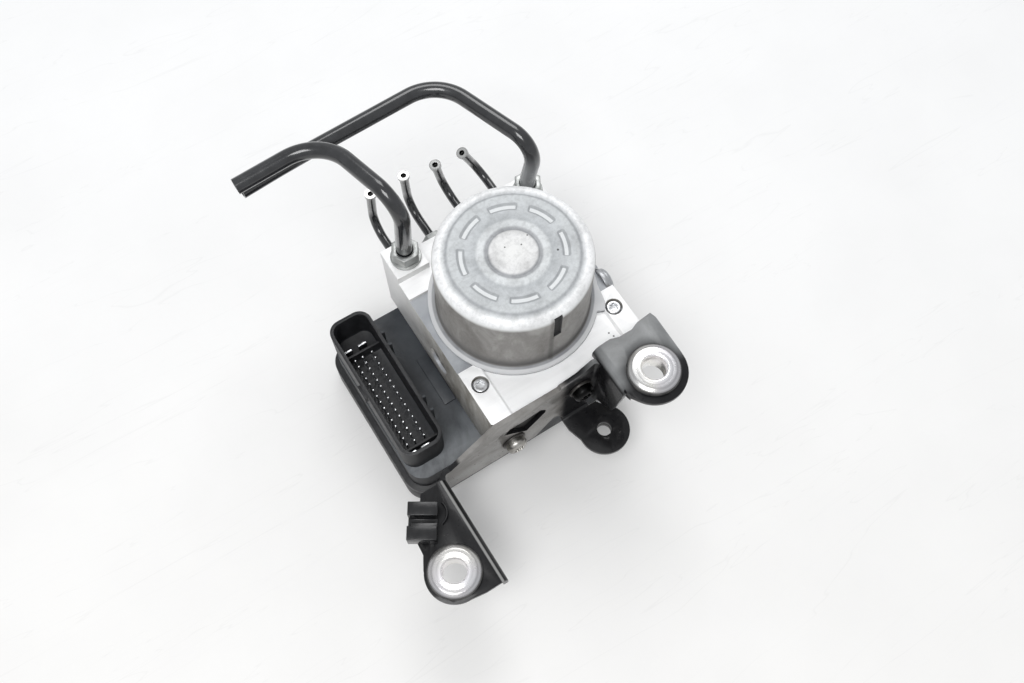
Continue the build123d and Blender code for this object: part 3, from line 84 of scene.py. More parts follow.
def stretched(tree, place, scale, turn=(0.0, 0.0, 0.0)):
    """Coordinates scaled unevenly, for grain and drips that run one way."""
    mapping = tree.nodes.new("ShaderNodeMapping")
    mapping.inputs["Scale"].default_value = scale
    mapping.inputs["Rotation"].default_value = turn
    tree.links.new(place, mapping.inputs["Vector"])
    return mapping.outputs["Vector"]


def cloud(tree, place, scale, detail=4.0, roughness=0.55, distortion=0.0):
    """Noise between 0 and 1."""
    noise = tree.nodes.new("ShaderNodeTexNoise")
    noise.inputs["Scale"].default_value = scale
    noise.inputs["Detail"].default_value = detail
    noise.inputs["Roughness"].default_value = roughness
    noise.inputs["Distortion"].default_value = distortion
    tree.links.new(place, noise.inputs["Vector"])
    return noise.outputs["Fac"]


def graded(tree, value, *stops):
    """Colour ramp over a value; each stop is a place and a grey or a colour."""
    node = tree.nodes.new("ShaderNodeValToRGB")
    ramp = node.color_ramp
    while len(ramp.elements) < len(stops):
        ramp.elements.new(0.5)
    for element, (position, colour) in zip(ramp.elements, stops):
        element.position = position
        grey = isinstance(colour, (int, float))
        element.color = (colour, colour, colour, 1.0) if grey else (*colour, 1.0)
    tree.links.new(value, node.inputs["Fac"])
    return node.outputs["Color"]


def blended(tree, amount, first, second, mode="MIX"):
    """Two colours mixed by an amount, which is a socket or a number."""
    node = tree.nodes.new("ShaderNodeMix")
    node.data_type = "RGBA"
    node.blend_type = mode
    for socket, value in ((node.inputs[0], amount), (node.inputs[6], first), (node.inputs[7], second)):
        if isinstance(value, bpy.types.NodeSocket):
            tree.links.new(value, socket)
        elif isinstance(value, tuple):
            socket.default_value = (*value, 1.0)
        else:
            socket.default_value = value
    return node.outputs[2]


def combined(tree, operation, first, second):
    """Arithmetic on two values."""
    node = tree.nodes.new("ShaderNodeMath")
    node.operation = operation
    for socket, value in zip(node.inputs, (first, second)):
        if isinstance(value, bpy.types.NodeSocket):
            tree.links.new(value, socket)
        else:
            socket.default_value = value
    return node.outputs[0]


def ramped(tree, value, start, end):
    """Smooth step from 0 at the start value to 1 at the end value."""
    node = tree.nodes.new("ShaderNodeMapRange")
    node.interpolation_type = "SMOOTHSTEP"
    node.inputs["From Min"].default_value = start
    node.inputs["From Max"].default_value = end
    tree.links.new(value, node.inputs["Value"])
    return node.outputs["Result"]


def split(tree, vector):
    """The three parts of a vector."""
    node = tree.nodes.new("ShaderNodeSeparateXYZ")
    tree.links.new(vector, node.inputs["Vector"])
    return node.outputs["X"], node.outputs["Y"], node.outputs["Z"]


def facing(tree):
    """The three parts of the surface's own direction."""
    return split(tree, tree.nodes.new("ShaderNodeNewGeometry").outputs["Normal"])


def relief(tree, shader, height, strength, depth):
    """Bump from a height; a second call adds to the first."""
    node = tree.nodes.new("ShaderNodeBump")
    node.inputs["Strength"].default_value = strength
    node.inputs["Distance"].default_value = depth
    tree.links.new(height, node.inputs["Height"])
    if shader.inputs["Normal"].is_linked:
        tree.links.new(shader.inputs["Normal"].links[0].from_socket, node.inputs["Normal"])
    tree.links.new(node.outputs["Normal"], shader.inputs["Normal"])


board_finish, tree, shader, place = shaded("floor_board", roughness=0.6)
# Painted light: the board is painted paler towards its far side.
towards_far = split(tree, stretched(tree, place, (1.0, 1.0, 1.0), far_turn))[1]
board_tone = blended(tree, ramped(tree, towards_far, -0.25, 0.25), board_near, board_far)
scuffs = graded(tree, cloud(tree, place, 9.0, 7.0), (0.35, 0.965), (0.62, 1.0))
hairs = cloud(tree, stretched(tree, place, (3.0, 30.0, 1.0), hair_turn), 1.0, 3.0, 0.5, 1.5)
hair_tone = graded(tree, hairs, (0.4990, 1.0), (0.5, 0.96), (0.5010, 1.0))
board_tone = blended(tree, 1.0, blended(tree, 1.0, board_tone, scuffs, "MULTIPLY"), hair_tone, "MULTIPLY")
tree.links.new(board_tone, shader.inputs["Base Color"])
tree.links.new(board_tone, shader.inputs["Emission Color"])
seen = tree.nodes.new("ShaderNodeLightPath").outputs["Is Camera Ray"]
tree.links.new(combined(tree, "MULTIPLY", seen, board_glow), shader.inputs["Emission Strength"])
relief(tree, shader, cloud(tree, place, 700.0, 3.0), 0.12, 0.0002)
board = bmesh.new()
bmesh.ops.create_grid(board, x_segments=1, y_segments=1, size=board_size)
board_mesh = bpy.data.meshes.new("floor")
board.to_mesh(board_mesh)
board.free()
board_mesh.materials.append(board_finish)
floor = bpy.data.objects.new("floor", board_mesh)
bpy.context.collection.objects.link(floor)

sky = bpy.data.worlds.new("sky")
bpy.context.scene.world = sky
sky.use_nodes = True
sky.node_tree.nodes["Background"].inputs["Color"].default_value = (0.97, 0.985, 1.0, 1.0)
sky.node_tree.nodes["Background"].inputs["Strength"].default_value = sky_strength

# name, place, size, watts
for lamp_name, lamp_place, lamp_size, lamp_power in (
    ("far_softbox", (0.45, 0.72, 1.30), 0.7, 6.0),
    ("near_softbox", (-0.45, -0.35, 1.25), 0.55, 7.5),
):
    lamp_data = bpy.data.lights.new(lamp_name, "AREA")
    lamp_data.size = lamp_size
    lamp_data.energy = lamp_power
    lamp = bpy.data.objects.new(lamp_name, lamp_data)
    lamp.location = lamp_place
    lamp.rotation_euler = (-Vector(lamp_place)).to_track_quat("-Z", "Y").to_euler()
    bpy.context.collection.objects.link(lamp)

# ---------------------------------------------------------------- hydraulic block
# Billet of extruded aluminium, sawn, milled and drilled. Its top is painted near white, partly for
# the mill's bright finish and partly as a painted reflection of the lamps above; its sides are duller,
# stained by the road and lighter towards the back, and each outer edge is broken by a fine chamfer.
merge_gap = 2e-6
block_edge = 0.00035
land_level = 0.0734
land_blend = 0.0005
land_waver = 0.0004
pit_places = ((0.0289, -0.0420, 0.0738), (0.0300, -0.0446, 0.0738))
pit_radius = 0.0006


def broken(form, width, segments, sharp, beyond=0.0):
    """Rounds a form's crisp edges; those nearer to the Z axis than a given radius stay."""
    crisp = [
        edge for edge in form.edges
        if len(edge.link_faces) == 2 and edge.calc_face_angle(0.0) > math.radians(sharp)
        and min(vert.co.xy.length for vert in edge.verts) >= beyond
    ]
    bmesh.ops.bevel(
        form, geom=crisp, offset=width, offset_type="OFFSET", segments=segments, profile=0.5,
        affect="EDGES", clamp_overlap=True, material=-1,
    )


def rounded(node, name, width, segments=2, sharp=28.0):
    """Copy of a CAD node with its crisp edges rounded; it stands for the node."""
    form = bmesh.new()
    form.from_mesh(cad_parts[node].data)
    bmesh.ops.remove_doubles(form, verts=form.verts, dist=merge_gap)
    bmesh.ops.dissolve_limit(
        form, angle_limit=math.radians(0.5), verts=form.verts, edges=form.edges
    )
    broken(form, width, segments, sharp)
    piece = finished(form, name)
    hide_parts(node)
    return piece


def finished(form, name, body="unit", smooth=35.0):
    """Object from a bmesh, smooth-shaded but for its crisp edges, riding on a body."""
    mesh = bpy.data.meshes.new(name)
    form.to_mesh(mesh)
    form.free()
    mesh.shade_smooth()
    mesh.set_sharp_from_angle(angle=math.radians(smooth))
    piece = bpy.data.objects.new(name, mesh)
    bpy.context.collection.objects.link(piece)
    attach(piece, body)
    return piece


def coat(piece, material):
    """Gives a new piece or a CAD node its finish."""
    if isinstance(piece, str):
        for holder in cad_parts[piece].material_slots:
            holder.material = material
        return
    piece.data.materials.clear()
    piece.data.materials.append(material)


def overlap(tree, mask, *others):
    """Mask that is 1 only where all the masks are; a number weakens it."""
    for other in others:
        mask = combined(tree, "MULTIPLY", mask, other)
    return mask


def distance(tree, place, point):
    """How far the surface is from a point."""
    node = tree.nodes.new("ShaderNodeVectorMath")
    node.operation = "DISTANCE"
    node.inputs[1].default_value = point
    tree.links.new(place, node.inputs[0])
    return node.outputs["Value"]


def spots(tree, place, points, radius):
    """Mask that is 1 near any of the points."""
    mask = 0.0
    for point in points:
        near = ramped(tree, distance(tree, place, point), radius, 0.5 * radius)
        mask = combined(tree, "MAXIMUM", near, mask)
    return mask


milled, tree, shader, place = shaded("milled_aluminium", metallic=0.08)
block_x, block_y, block_z = split(tree, place)
face_y, face_z = facing(tree)[1:]
patches = cloud(tree, place, 48.0, 7.0, 0.6, 0.6)
streaks = cloud(tree, stretched(tree, place, (30.0, 420.0, 420.0)), 1.0, 3.0)
# Top: near white, partly the milled finish and partly a painted reflection of the lamps above.
top_tone_and_reflection = graded(tree, patches, (0.34, (0.93, 0.933, 0.936)), (0.56, (1.0, 1.0, 1.0)))
top_tone_and_reflection = blended(tree, 0.5, top_tone_and_reflection, graded(tree, streaks, (0.35, 0.93), (0.6, 1.0)), "MULTIPLY")
# The land round the can's foot is blue-grey: partly its duller finish, partly a painted reflection of the
# dark can.
wavy = combined(tree, "ADD", block_z, combined(tree, "MULTIPLY", patches, land_waver))
land = ramped(tree, wavy, land_level + land_blend, land_level)
land_finish_and_reflection = graded(tree, patches, (0.35, (0.31, 0.325, 0.35)), (0.65, (0.44, 0.455, 0.475)))
top_tone_and_reflection = blended(tree, land, top_tone_and_reflection, land_finish_and_reflection)
drips = cloud(tree, stretched(tree, place, (120.0, 120.0, 46.0)), 1.0, 7.0, 0.66)
side_tone = graded(
    tree, drips, (0.30, (0.20, 0.185, 0.16)), (0.48, (0.34, 0.327, 0.302)), (0.72, (0.55, 0.54, 0.52))
)
# The sides turn lighter towards the back.
lighter_towards_back = ramped(tree, block_y, -0.010, 0.045)
side_tone = blended(tree, lighter_towards_back, side_tone, (0.78, 0.78, 0.775))
upward_mask = ramped(tree, face_z, 0.35, 0.75)
# Painted shade: the front face behind the bracket's plate is painted near black.
painted_shade_behind_plate = overlap(
    tree, ramped(tree, face_y, -0.5, -0.9), ramped(tree, block_x, -0.006, -0.010),
    ramped(tree, block_y, -0.048, -0.051),
)
side_tone = blended(tree, painted_shade_behind_plate, side_tone, (0.022, 0.021, 0.020))
tone = blended(tree, upward_mask, side_tone, top_tone_and_reflection)
tone = blended(tree, spots(tree, place, pit_places, pit_radius), tone, (0.10, 0.10, 0.10))
tree.links.new(tone, shader.inputs["Base Color"])
top_rough = graded(tree, streaks, (0.3, 0.34), (0.7, 0.46))
tree.links.new(blended(tree, upward_mask, (0.58, 0.58, 0.58), top_rough), shader.inputs["Roughness"])
mill = cloud(tree, stretched(tree, place, (60.0, 1400.0, 1400.0)), 1.0, 2.0)
relief(tree, shader, mill, 0.10, 0.0002)
relief(tree, shader, drips, 0.15, 0.0003)
coat(rounded("hydraulic_block", "valve_block", block_edge), milled)

# ---------------------------------------------------------------- motor can
# Can drawn from zinc-coated sheet steel, with stepped rings and eight sunk bars in its top that
# stiffen it, a punched window in its side, and a flange clamped on the block.
can_rim = 0.1187
can_side = 0.038
can_inside = 0.0360
roof_inside = 0.1157
shoulder = 0.0044
shoulder_drop = 0.0004
shoulder_steps = 10
side_top = 0.1135
side_step = 0.0015
shell_foot = 0.0757
shell_steps = 360
hub_radius = 0.0090
hub_bore = 0.00702
hub_foot = 0.1087
bar_pitch = math.tau / 8
bar_first = math.radians(-20.0)
bar_half_turn = math.radians(16.4)
bar_circle = 0.0244
bar_flat = 0.0007
bar_reach = 0.0022
bar_depth = 0.0010
bar_end = 0.0007
window_middle = math.radians(-89.5)
window_half_turn = math.radians(3.9)
window_low = 0.0965
window_high = 0.1165
window_lip = 0.0003
window_depth = 0.0014
window_shade = (0.0042, 0.0037)
flange_top = 0.0763
flange_inner = 0.0395
flange_outer = 0.0410
flange_spread = 1.0083
flange_edge = 0.0003
chip_places = ((0.0286, -0.0095, 0.1185), (0.0180, -0.0096, 0.1190))
grit_places = ((0.0050, 0.0012, 0.1199), (-0.0022, 0.0040, 0.1199), (0.0100, 0.0040, 0.1197))
nick_place = (-0.0345, 0.0105, 0.1175)
run_place = (-0.0028, -0.0379, 0.0)

# The can's flange is kept and closed where the shell is cut off it
can = bmesh.new()
can.from_mesh(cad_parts["motor_can"].data)
bmesh.ops.remove_doubles(can, verts=can.verts, dist=merge_gap)
bmesh.ops.bisect_plane(
    can, geom=can.verts[:] + can.edges[:] + can.faces[:], dist=1e-6, plane_co=(0, 0, flange_top),
    plane_no=(0, 0, 1), clear_outer=True,
)
bmesh.ops.bridge_loops(can, edges=[edge for edge in can.edges if edge.is_boundary])
broken(can, flange_edge, 2, 40.0, beyond=flange_inner)
for vert in can.verts:
    if vert.co.xy.length > flange_outer:
        vert.co.xy *= flange_spread
# Half section of the shell: across the top, round the shoulder, down the side and back inside
top_section = [
    (0.0, 0.00125), (0.0060, 0.00125), (0.0100, 0.00115), (0.0112, 0.00095), (0.0118, 0.00055),
    (0.0122, 0.00025), (0.0127, 0.00020), (0.0132, 0.00045), (0.0138, 0.00075), (0.0148, 0.00085),
    (0.0160, 0.00080), (0.0168, 0.00060), (0.0176, 0.00035), (0.0186, 0.00025),
]
top_section += [(0.0200 + 0.0003 * step, 0.00030 + 0.000012 * step) for step in range(34)]
top_section += [
    (0.0305, 0.00062), (0.0309, 0.00040), (0.0314, -0.00010), (0.0319, -0.00050), (0.0324, -0.00062),
    (0.0330, -0.00050), (0.0334, -0.00040),
]
section = [(radius, can_rim + rise) for radius, rise in top_section]
for step in range(shoulder_steps):
    turn = math.radians(90.0) * (step + 1) / shoulder_steps
    section.append((
        can_side - shoulder + shoulder * math.sin(turn),
        can_rim - shoulder_drop - shoulder + shoulder * math.cos(turn),
    ))
section += [(can_side, side_top - side_step * step) for step in range(25)]
section += [
    (can_side + 0.0002, shell_foot), (can_inside + 0.0002, shell_foot), (can_inside, roof_inside - 0.0007),
    (hub_radius, roof_inside), (hub_radius, hub_foot), (hub_bore, hub_foot), (hub_bore, roof_inside),
    (0.0, roof_inside),
]


def turned_up(form, section, steps, middle=(0.0, 0.0, 0.0), closed=True):
    """Spins a half section of radius and height a full turn about an upright axis."""
    middle = Vector(middle)
    points = [form.verts.new(middle + Vector((radius, 0.0, level))) for radius, level in section]
    ends = points[1:] + points[:1] if closed else points[1:]
    lines = [form.edges.new(pair) for pair in zip(points, ends)]
    bmesh.ops.spin(
        form, geom=points + lines, cent=middle, axis=(0, 0, 1), dvec=(0, 0, 0),
        angle=math.tau, steps=steps, use_merge=True, use_duplicate=False,
    )
    bmesh.ops.remove_doubles(form, verts=form.verts, dist=1e-6)
    bmesh.ops.recalc_face_normals(form, faces=form.faces)


shell = bmesh.new()
turned_up(shell, section, shell_steps, closed=False)


def eased(value, start, end):
    """Smooth step between two values."""
    share = min(max((value - start) / (end - start), 0.0), 1.0)
    return share * share * (3.0 - 2.0 * share)


# The bars sink into the flat ring, and the window into the side
for vert in shell.verts:
    radius = vert.co.xy.length
    if vert.co.z > can_rim and abs(radius - bar_circle) < bar_reach:
        turn = math.atan2(vert.co.y, vert.co.x) - bar_first
        turn = (turn + bar_pitch / 2) % bar_pitch - bar_pitch / 2
        across_bar = 1.0 - eased(abs(radius - bar_circle), bar_flat, bar_reach)
        along_bar = 1.0 - eased((abs(turn) - bar_half_turn) * radius, -bar_end, 0.0)
        vert.co.z -= bar_depth * across_bar * along_bar
window = []
for face in shell.faces:
    middle = face.calc_center_median()
    turn = math.atan2(middle.y, middle.x) - window_middle
    outside = middle.xy.length > can_inside + 0.0005
    if outside and window_low < middle.z < window_high and abs(turn) < window_half_turn:
        window.append(face)
bmesh.ops.inset_region(
    shell, faces=window, thickness=window_lip, depth=-window_depth, use_even_offset=True
)
shell_mesh = bpy.data.meshes.new("can_shell")
shell.to_mesh(shell_mesh)
shell.free()
can.from_mesh(shell_mesh)
bpy.data.meshes.remove(shell_mesh)

drawn, tree, shader, place = shaded("zinc_coated_sheet", metallic=0.12)
can_y, can_z = split(tree, place)[1:]
face_z = facing(tree)[2]
from_axis = distance(tree, stretched(tree, place, (1.0, 1.0, 0.0)), (0.0, 0.0, 0.0))
blotches = cloud(tree, place, 70.0, 6.0, 0.62, 0.4)
speckle = cloud(tree, place, 420.0, 4.0, 0.7)
# Radial tones: partly the sheet's uneven polish, partly painted shade in the grooves and a painted
# highlight on the rim.
ring_tones_with_painted_light = graded(
    tree, combined(tree, "DIVIDE", from_axis, can_side),
    (0.0, (0.76, 0.76, 0.75)), (0.29, (0.72, 0.72, 0.72)), (0.315, (0.34, 0.35, 0.365)),
    (0.345, (0.40, 0.41, 0.425)), (0.37, (0.66, 0.68, 0.69)), (0.44, (0.67, 0.69, 0.70)),
    (0.475, (0.47, 0.49, 0.505)), (0.56, (0.52, 0.54, 0.555)), (0.79, (0.56, 0.58, 0.59)),
    (0.82, (0.43, 0.445, 0.46)), (0.86, (0.62, 0.635, 0.645)), (0.90, (0.90, 0.905, 0.91)),
)
ring_tones_with_painted_light = blended(tree, 1.0, ring_tones_with_painted_light, graded(tree, blotches, (0.32, 0.76), (0.55, 1.0)), "MULTIPLY")
ring_tones_with_painted_light = blended(tree, 1.0, ring_tones_with_painted_light, graded(tree, speckle, (0.38, 0.84), (0.56, 1.0)), "MULTIPLY")
bar_floor = overlap(
    tree, ramped(tree, can_z, can_rim - 0.00005, can_rim - 0.00030),
    ramped(tree, from_axis, 0.0305, 0.0295), ramped(tree, face_z, 0.90, 0.97), 0.8,
)
ring_tones_with_painted_light = blended(tree, bar_floor, ring_tones_with_painted_light, (0.72, 0.735, 0.74))
# Painted shade on the sloping walls of the sunk bars.
painted_bar_wall_shade = overlap(
    tree, ramped(tree, face_z, 0.965, 0.87), ramped(tree, from_axis, 0.0206, 0.0212),
    ramped(tree, from_axis, 0.0284, 0.0278), 0.45,
)
ring_tones_with_painted_light = blended(tree, painted_bar_wall_shade, ring_tones_with_painted_light, (0.26, 0.27, 0.28))
runs = cloud(tree, stretched(tree, place, (75.0, 75.0, 34.0)), 1.0, 7.0, 0.66, 0.5)
# Side: road runs, and painted darker than the top as painted shade on the side turned from the lamps.
can_side_tone_and_shade = graded(
    tree, runs, (0.30, (0.17, 0.16, 0.148)), (0.52, (0.27, 0.26, 0.247)), (0.74, (0.43, 0.42, 0.405))
)
# Painted shade darkens the side towards its foot on the flange.
painted_foot_shade = ramped(tree, can_z, 0.0850, 0.0765)
can_side_tone_and_shade = blended(tree, painted_foot_shade, can_side_tone_and_shade, (0.16, 0.155, 0.15))
# Painted highlight: a lighter band just below the shoulder, where the side turns into the top.
painted_shoulder_highlight = ramped(tree, can_z, 0.1135, 0.1165)
can_side_tone_and_shade = blended(tree, painted_shoulder_highlight, can_side_tone_and_shade, (0.80, 0.81, 0.81))
flange_tone = graded(tree, blotches, (0.35, (0.26, 0.265, 0.28)), (0.65, (0.38, 0.385, 0.395)))
# The flange's rounded outer edge is lighter: painted highlight.
flange_tone = blended(tree, ramped(tree, from_axis, 0.0400, 0.0407), flange_tone, (0.60, 0.605, 0.615))
can_side_tone_and_shade = blended(tree, ramped(tree, from_axis, 0.0385, 0.0392), can_side_tone_and_shade, flange_tone)
over = overlap(tree, ramped(tree, face_z, 0.25, 0.8), ramped(tree, can_z, 0.110, 0.112))
tone = blended(tree, over, can_side_tone_and_shade, ring_tones_with_painted_light)
# Squared distance from the middle of the shoulder's bend, which is less in the sunk window
past_bend = combined(tree, "SUBTRACT", from_axis, can_side - shoulder)
over_bend = combined(tree, "SUBTRACT", can_z, can_rim - shoulder_drop - shoulder)
over_bend = combined(tree, "MAXIMUM", over_bend, 0.0)
from_bend = combined(
    tree, "ADD", combined(tree, "MULTIPLY", past_bend, past_bend),
    combined(tree, "MULTIPLY", over_bend, over_bend),
)
# Painted shade: the sunk window is painted near black inside.
window_shade_mask = overlap(
    tree, ramped(tree, from_bend, *(reach ** 2 for reach in window_shade)),
    ramped(tree, can_z, 0.1176, 0.1168),
    ramped(tree, can_y, -0.030, -0.034),
)
tone = blended(tree, window_shade_mask, tone, (0.012, 0.012, 0.013))
from_run = distance(tree, stretched(tree, place, (1.0, 1.0, 0.012)), run_place)
run_line = overlap(tree, ramped(tree, from_run, 0.0022, 0.0010), 0.7)
tone = blended(tree, run_line, tone, (0.10, 0.095, 0.09))
chips = spots(tree, place, chip_places, 0.0007)
grit = spots(tree, place, grit_places, 0.0005)
tone = blended(tree, combined(tree, "MAXIMUM", chips, grit), tone, (0.06, 0.06, 0.06))
tone = blended(tree, spots(tree, place, [nick_place], 0.0013), tone, (0.95, 0.95, 0.95))
tree.links.new(tone, shader.inputs["Base Color"])
tree.links.new(graded(tree, speckle, (0.3, 0.50), (0.7, 0.66)), shader.inputs["Roughness"])
relief(tree, shader, speckle, 0.10, 0.0002)
relief(tree, shader, blotches, 0.12, 0.0006)
can_piece = finished(can, "motor_shell", smooth=50.0)
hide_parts("motor_can")
coat(can_piece, drawn)

# ---------------------------------------------------------------- inside the motor
# Finishes for the motor's inner parts: seal, magnets and brush gear, and the shaft, armature and
# commutator that turn in the can.


def worked(name, dark, light, smooth, rough, metallic=0.0, patch=60.0, grain=1200.0, bump=0.12, **sockets):
    """Material with patches between two tones, uneven gloss and a fine grain."""
    made, tree, shader, place = shaded(name, metallic, **sockets)
    mottle = cloud(tree, place, patch, 6.0, 0.6)
    tone = graded(tree, mottle, (0.32, dark), (0.66, light))
    tree.links.new(tone, shader.inputs["Base Color"])
    gloss = cloud(tree, place, patch * 2.3, 4.0)
    tree.links.new(graded(tree, gloss, (0.3, smooth), (0.7, rough)), shader.inputs["Roughness"])
    relief(tree, shader, cloud(tree, place, grain, 3.0), bump, 0.0001)
    return made, tree, shader, place, tone


seal_rubber = worked("seal_rubber", (0.012, 0.012, 0.013), (0.035, 0.035, 0.036), 0.6, 0.8)[0]
ferrite = worked("ferrite", (0.05, 0.05, 0.055), (0.11, 0.11, 0.115), 0.5, 0.7)[0]
ground_steel = worked(
    "ground_steel", (0.52, 0.53, 0.55), (0.70, 0.71, 0.73), 0.18, 0.32, metallic=1.0, grain=2400.0
)[0]
core_sheet = worked("core_sheet", (0.26, 0.26, 0.28), (0.42, 0.42, 0.44), 0.35, 0.55, metallic=1.0)[0]
copper_wire = worked(
    "enamelled_copper", (0.42, 0.14, 0.05), (0.72, 0.30, 0.14), 0.25, 0.42, metallic=1.0, grain=1800.0,
    bump=0.5,
)[0]
commutator_bars = worked(
    "commutator_copper", (0.60, 0.28, 0.16), (0.80, 0.42, 0.26), 0.22, 0.4, metallic=1.0
)[0]
brush_carbon = worked("brush_carbon", (0.02, 0.02, 0.02), (0.06, 0.06, 0.06), 0.45, 0.65)[0]
lead_sleeve = worked("lead_sleeve", (0.015, 0.015, 0.017), (0.04, 0.04, 0.045), 0.35, 0.5)[0]
carrier_plastic = worked("carrier_plastic", (0.45, 0.42, 0.35), (0.58, 0.55, 0.47), 0.4, 0.55)[0]
for node, material in (
    ("motor_seal", seal_rubber), ("motor_magnets", ferrite), ("pump_shaft", ground_steel),
    ("eccentric_bearing", ground_steel), ("drive_bearing", ground_steel), ("shaft_bush", commutator_bars),
    ("armature_core", core_sheet), ("armature_windings", copper_wire), ("commutator", commutator_bars),
    ("brush_plate", carrier_plastic), ("brushes", brush_carbon), ("motor_lead", lead_sleeve),
):
    coat(node, material)

# ---------------------------------------------------------------- pump, accumulators and valves
# Steel pistons and sleeves, turned aluminium plugs and caps, spring wire, and solenoid valves
# whose coils sit in the control unit.
turned_plug = worked(
    "turned_plug", (0.16, 0.15, 0.135), (0.40, 0.385, 0.36), 0.32, 0.5, metallic=1.0, patch=110.0
)[0]
spring_wire = worked("spring_wire", (0.30, 0.31, 0.33), (0.46, 0.47, 0.49), 0.25, 0.4, metallic=1.0)[0]
coil_jacket = worked("coil_jacket", (0.30, 0.31, 0.32), (0.48, 0.49, 0.50), 0.35, 0.5, metallic=1.0)[0]
for node, material in (
    ("pump_pistons", ground_steel), ("pump_sleeves", ground_steel), ("pump_plugs", turned_plug),
    ("accumulator_piston_left", turned_plug), ("accumulator_piston_right", turned_plug),
    ("accumulator_spring_left", spring_wire), ("accumulator_spring_right", spring_wire),
    ("accumulator_caps", turned_plug), ("valve_cartridges", ground_steel), ("valve_coils", coil_jacket),
):
    coat(node, material)

# ---------------------------------------------------------------- control unit
# Housing moulded in glass-filled black plastic with its connector shroud and a boss for the rear
# screw, and a moulded cover welded on below. Dust leaves the flat faces greyer than the shroud.
mould_edge = 0.00045
shroud_side = -0.0620
deck_level = 0.0300
boss_middle = (0.0, 0.0443, 0.0)
boss_section = (
    (0.00242, 0.0158), (0.0040, 0.0158), (0.0039, 0.0294), (0.0036, 0.0298), (0.00242, 0.0298),
)

moulded, tree, shader, place = shaded("moulded_plastic", Specular_IOR_Level=0.5)
unit_x, unit_y, unit_z = split(tree, place)
face_z = facing(tree)[2]
dust = cloud(tree, place, 34.0, 7.0, 0.62, 0.5)
fine_dust = cloud(tree, place, 260.0, 5.0, 0.7)
deck = graded(tree, dust, (0.34, (0.026, 0.030, 0.036)), (0.66, (0.062, 0.069, 0.078)))
# Painted sheen: up-facing faces turn lighter towards the front, in patches.
painted_front_sheen = overlap(
    tree, ramped(tree, unit_y, -0.012, -0.040), ramped(tree, face_z, 0.6, 0.95),
    graded(tree, dust, (0.38, 0.25), (0.60, 1.0)),
)
deck = blended(tree, painted_front_sheen, deck, (0.21, 0.225, 0.24))
black = graded(tree, fine_dust, (0.35, (0.006, 0.006, 0.007)), (0.75, (0.026, 0.027, 0.030)))
in_shroud = ramped(tree, unit_x, shroud_side + 0.0004, shroud_side - 0.0004)
above_deck = ramped(tree, unit_z, deck_level + 0.0002, deck_level + 0.0009)
below_deck = overlap(
    tree, ramped(tree, unit_z, deck_level - 0.0003, deck_level - 0.0008),
    ramped(tree, unit_x, -0.040, -0.076),
)
shroud_mask = combined(tree, "MAXIMUM", overlap(tree, in_shroud, above_deck), below_deck)
walls = graded(tree, dust, (0.36, (0.020, 0.022, 0.025)), (0.68, (0.052, 0.056, 0.062)))
tone = blended(tree, ramped(tree, face_z, 0.4, 0.8), walls, deck)
tone = blended(tree, shroud_mask, tone, black)
tree.links.new(tone, shader.inputs["Base Color"])
tree.links.new(graded(tree, fine_dust, (0.3, 0.34), (0.7, 0.52)), shader.inputs["Roughness"])
relief(tree, shader, cloud(tree, place, 1500.0, 3.0), 0.16, 0.0001)
relief(tree, shader, dust, 0.08, 0.0006)
coat(rounded("ecu_housing", "unit_housing", mould_edge), moulded)
coat(rounded("ecu_cover", "unit_cover", mould_edge), moulded)
coat("ecu_seal", seal_rubber)
rear_boss = bmesh.new()
turned_up(rear_boss, boss_section, 48, boss_middle)
coat(finished(rear_boss, "screw_boss"), moulded)

board_green = worked(
    "board_laminate", (0.01, 0.07, 0.03), (0.03, 0.16, 0.07), 0.3, 0.45, patch=220.0
)[0]
chip_resin = worked("chip_resin", (0.012, 0.012, 0.013), (0.03, 0.03, 0.032), 0.45, 0.6)[0]
tinned = worked(
    "tinned_brass", (0.62, 0.63, 0.65), (0.88, 0.89, 0.90), 0.16, 0.30, metallic=1.0, patch=300.0
)[0]
coat("circuit_board", board_green)
coat("board_components", chip_resin)
coat(rounded("connector_pins", "contact_pins", 0.00018), tinned)

# ---------------------------------------------------------------- screws and side plug
# Zinc-plated screws with a six-lobed drive, sunk in counterbores, and a pressed grey plug.
plated = worked(
    "zinc_plate", (0.60, 0.61, 0.63), (0.84, 0.85, 0.86), 0.28, 0.42, metallic=1.0, patch=180.0
)[0]
coat(rounded("ecu_screws", "unit_screws", 0.00025), plated)
plug_finish = worked(
    "plug_cap", (0.36, 0.37, 0.385), (0.55, 0.56, 0.575), 0.3, 0.45, metallic=0.8, patch=140.0
)[0]
coat(rounded("side_plug", "side_plug_cap", 0.0004), plug_finish)

# ---------------------------------------------------------------- bracket
# Sheet steel, blanked, pierced and bent, then dipped in a thin glossy black paint that road dust
# has greyed, most on the plate and the right tab; the plate's grey is also a painted reflection of
# the pale floor, and a painted highlight runs along the left tab's fold.
sheet_edge = 0.0004
right_hole = (0.0307, -0.0739, 0.089)
clean_ring = 0.0195

painted, tree, shader, place = shaded(
    "dipped_black_paint", Specular_IOR_Level=0.22, Coat_Weight=0.2, Coat_Roughness=0.06
)
sheet_x, sheet_y, sheet_z = split(tree, place)
face_x, face_y, face_z = facing(tree)
film = cloud(tree, place, 42.0, 7.0, 0.6, 0.6)
specks = cloud(tree, place, 380.0, 5.0, 0.75)
paint = graded(tree, film, (0.35, (0.004, 0.004, 0.005)), (0.70, (0.013, 0.013, 0.014)))
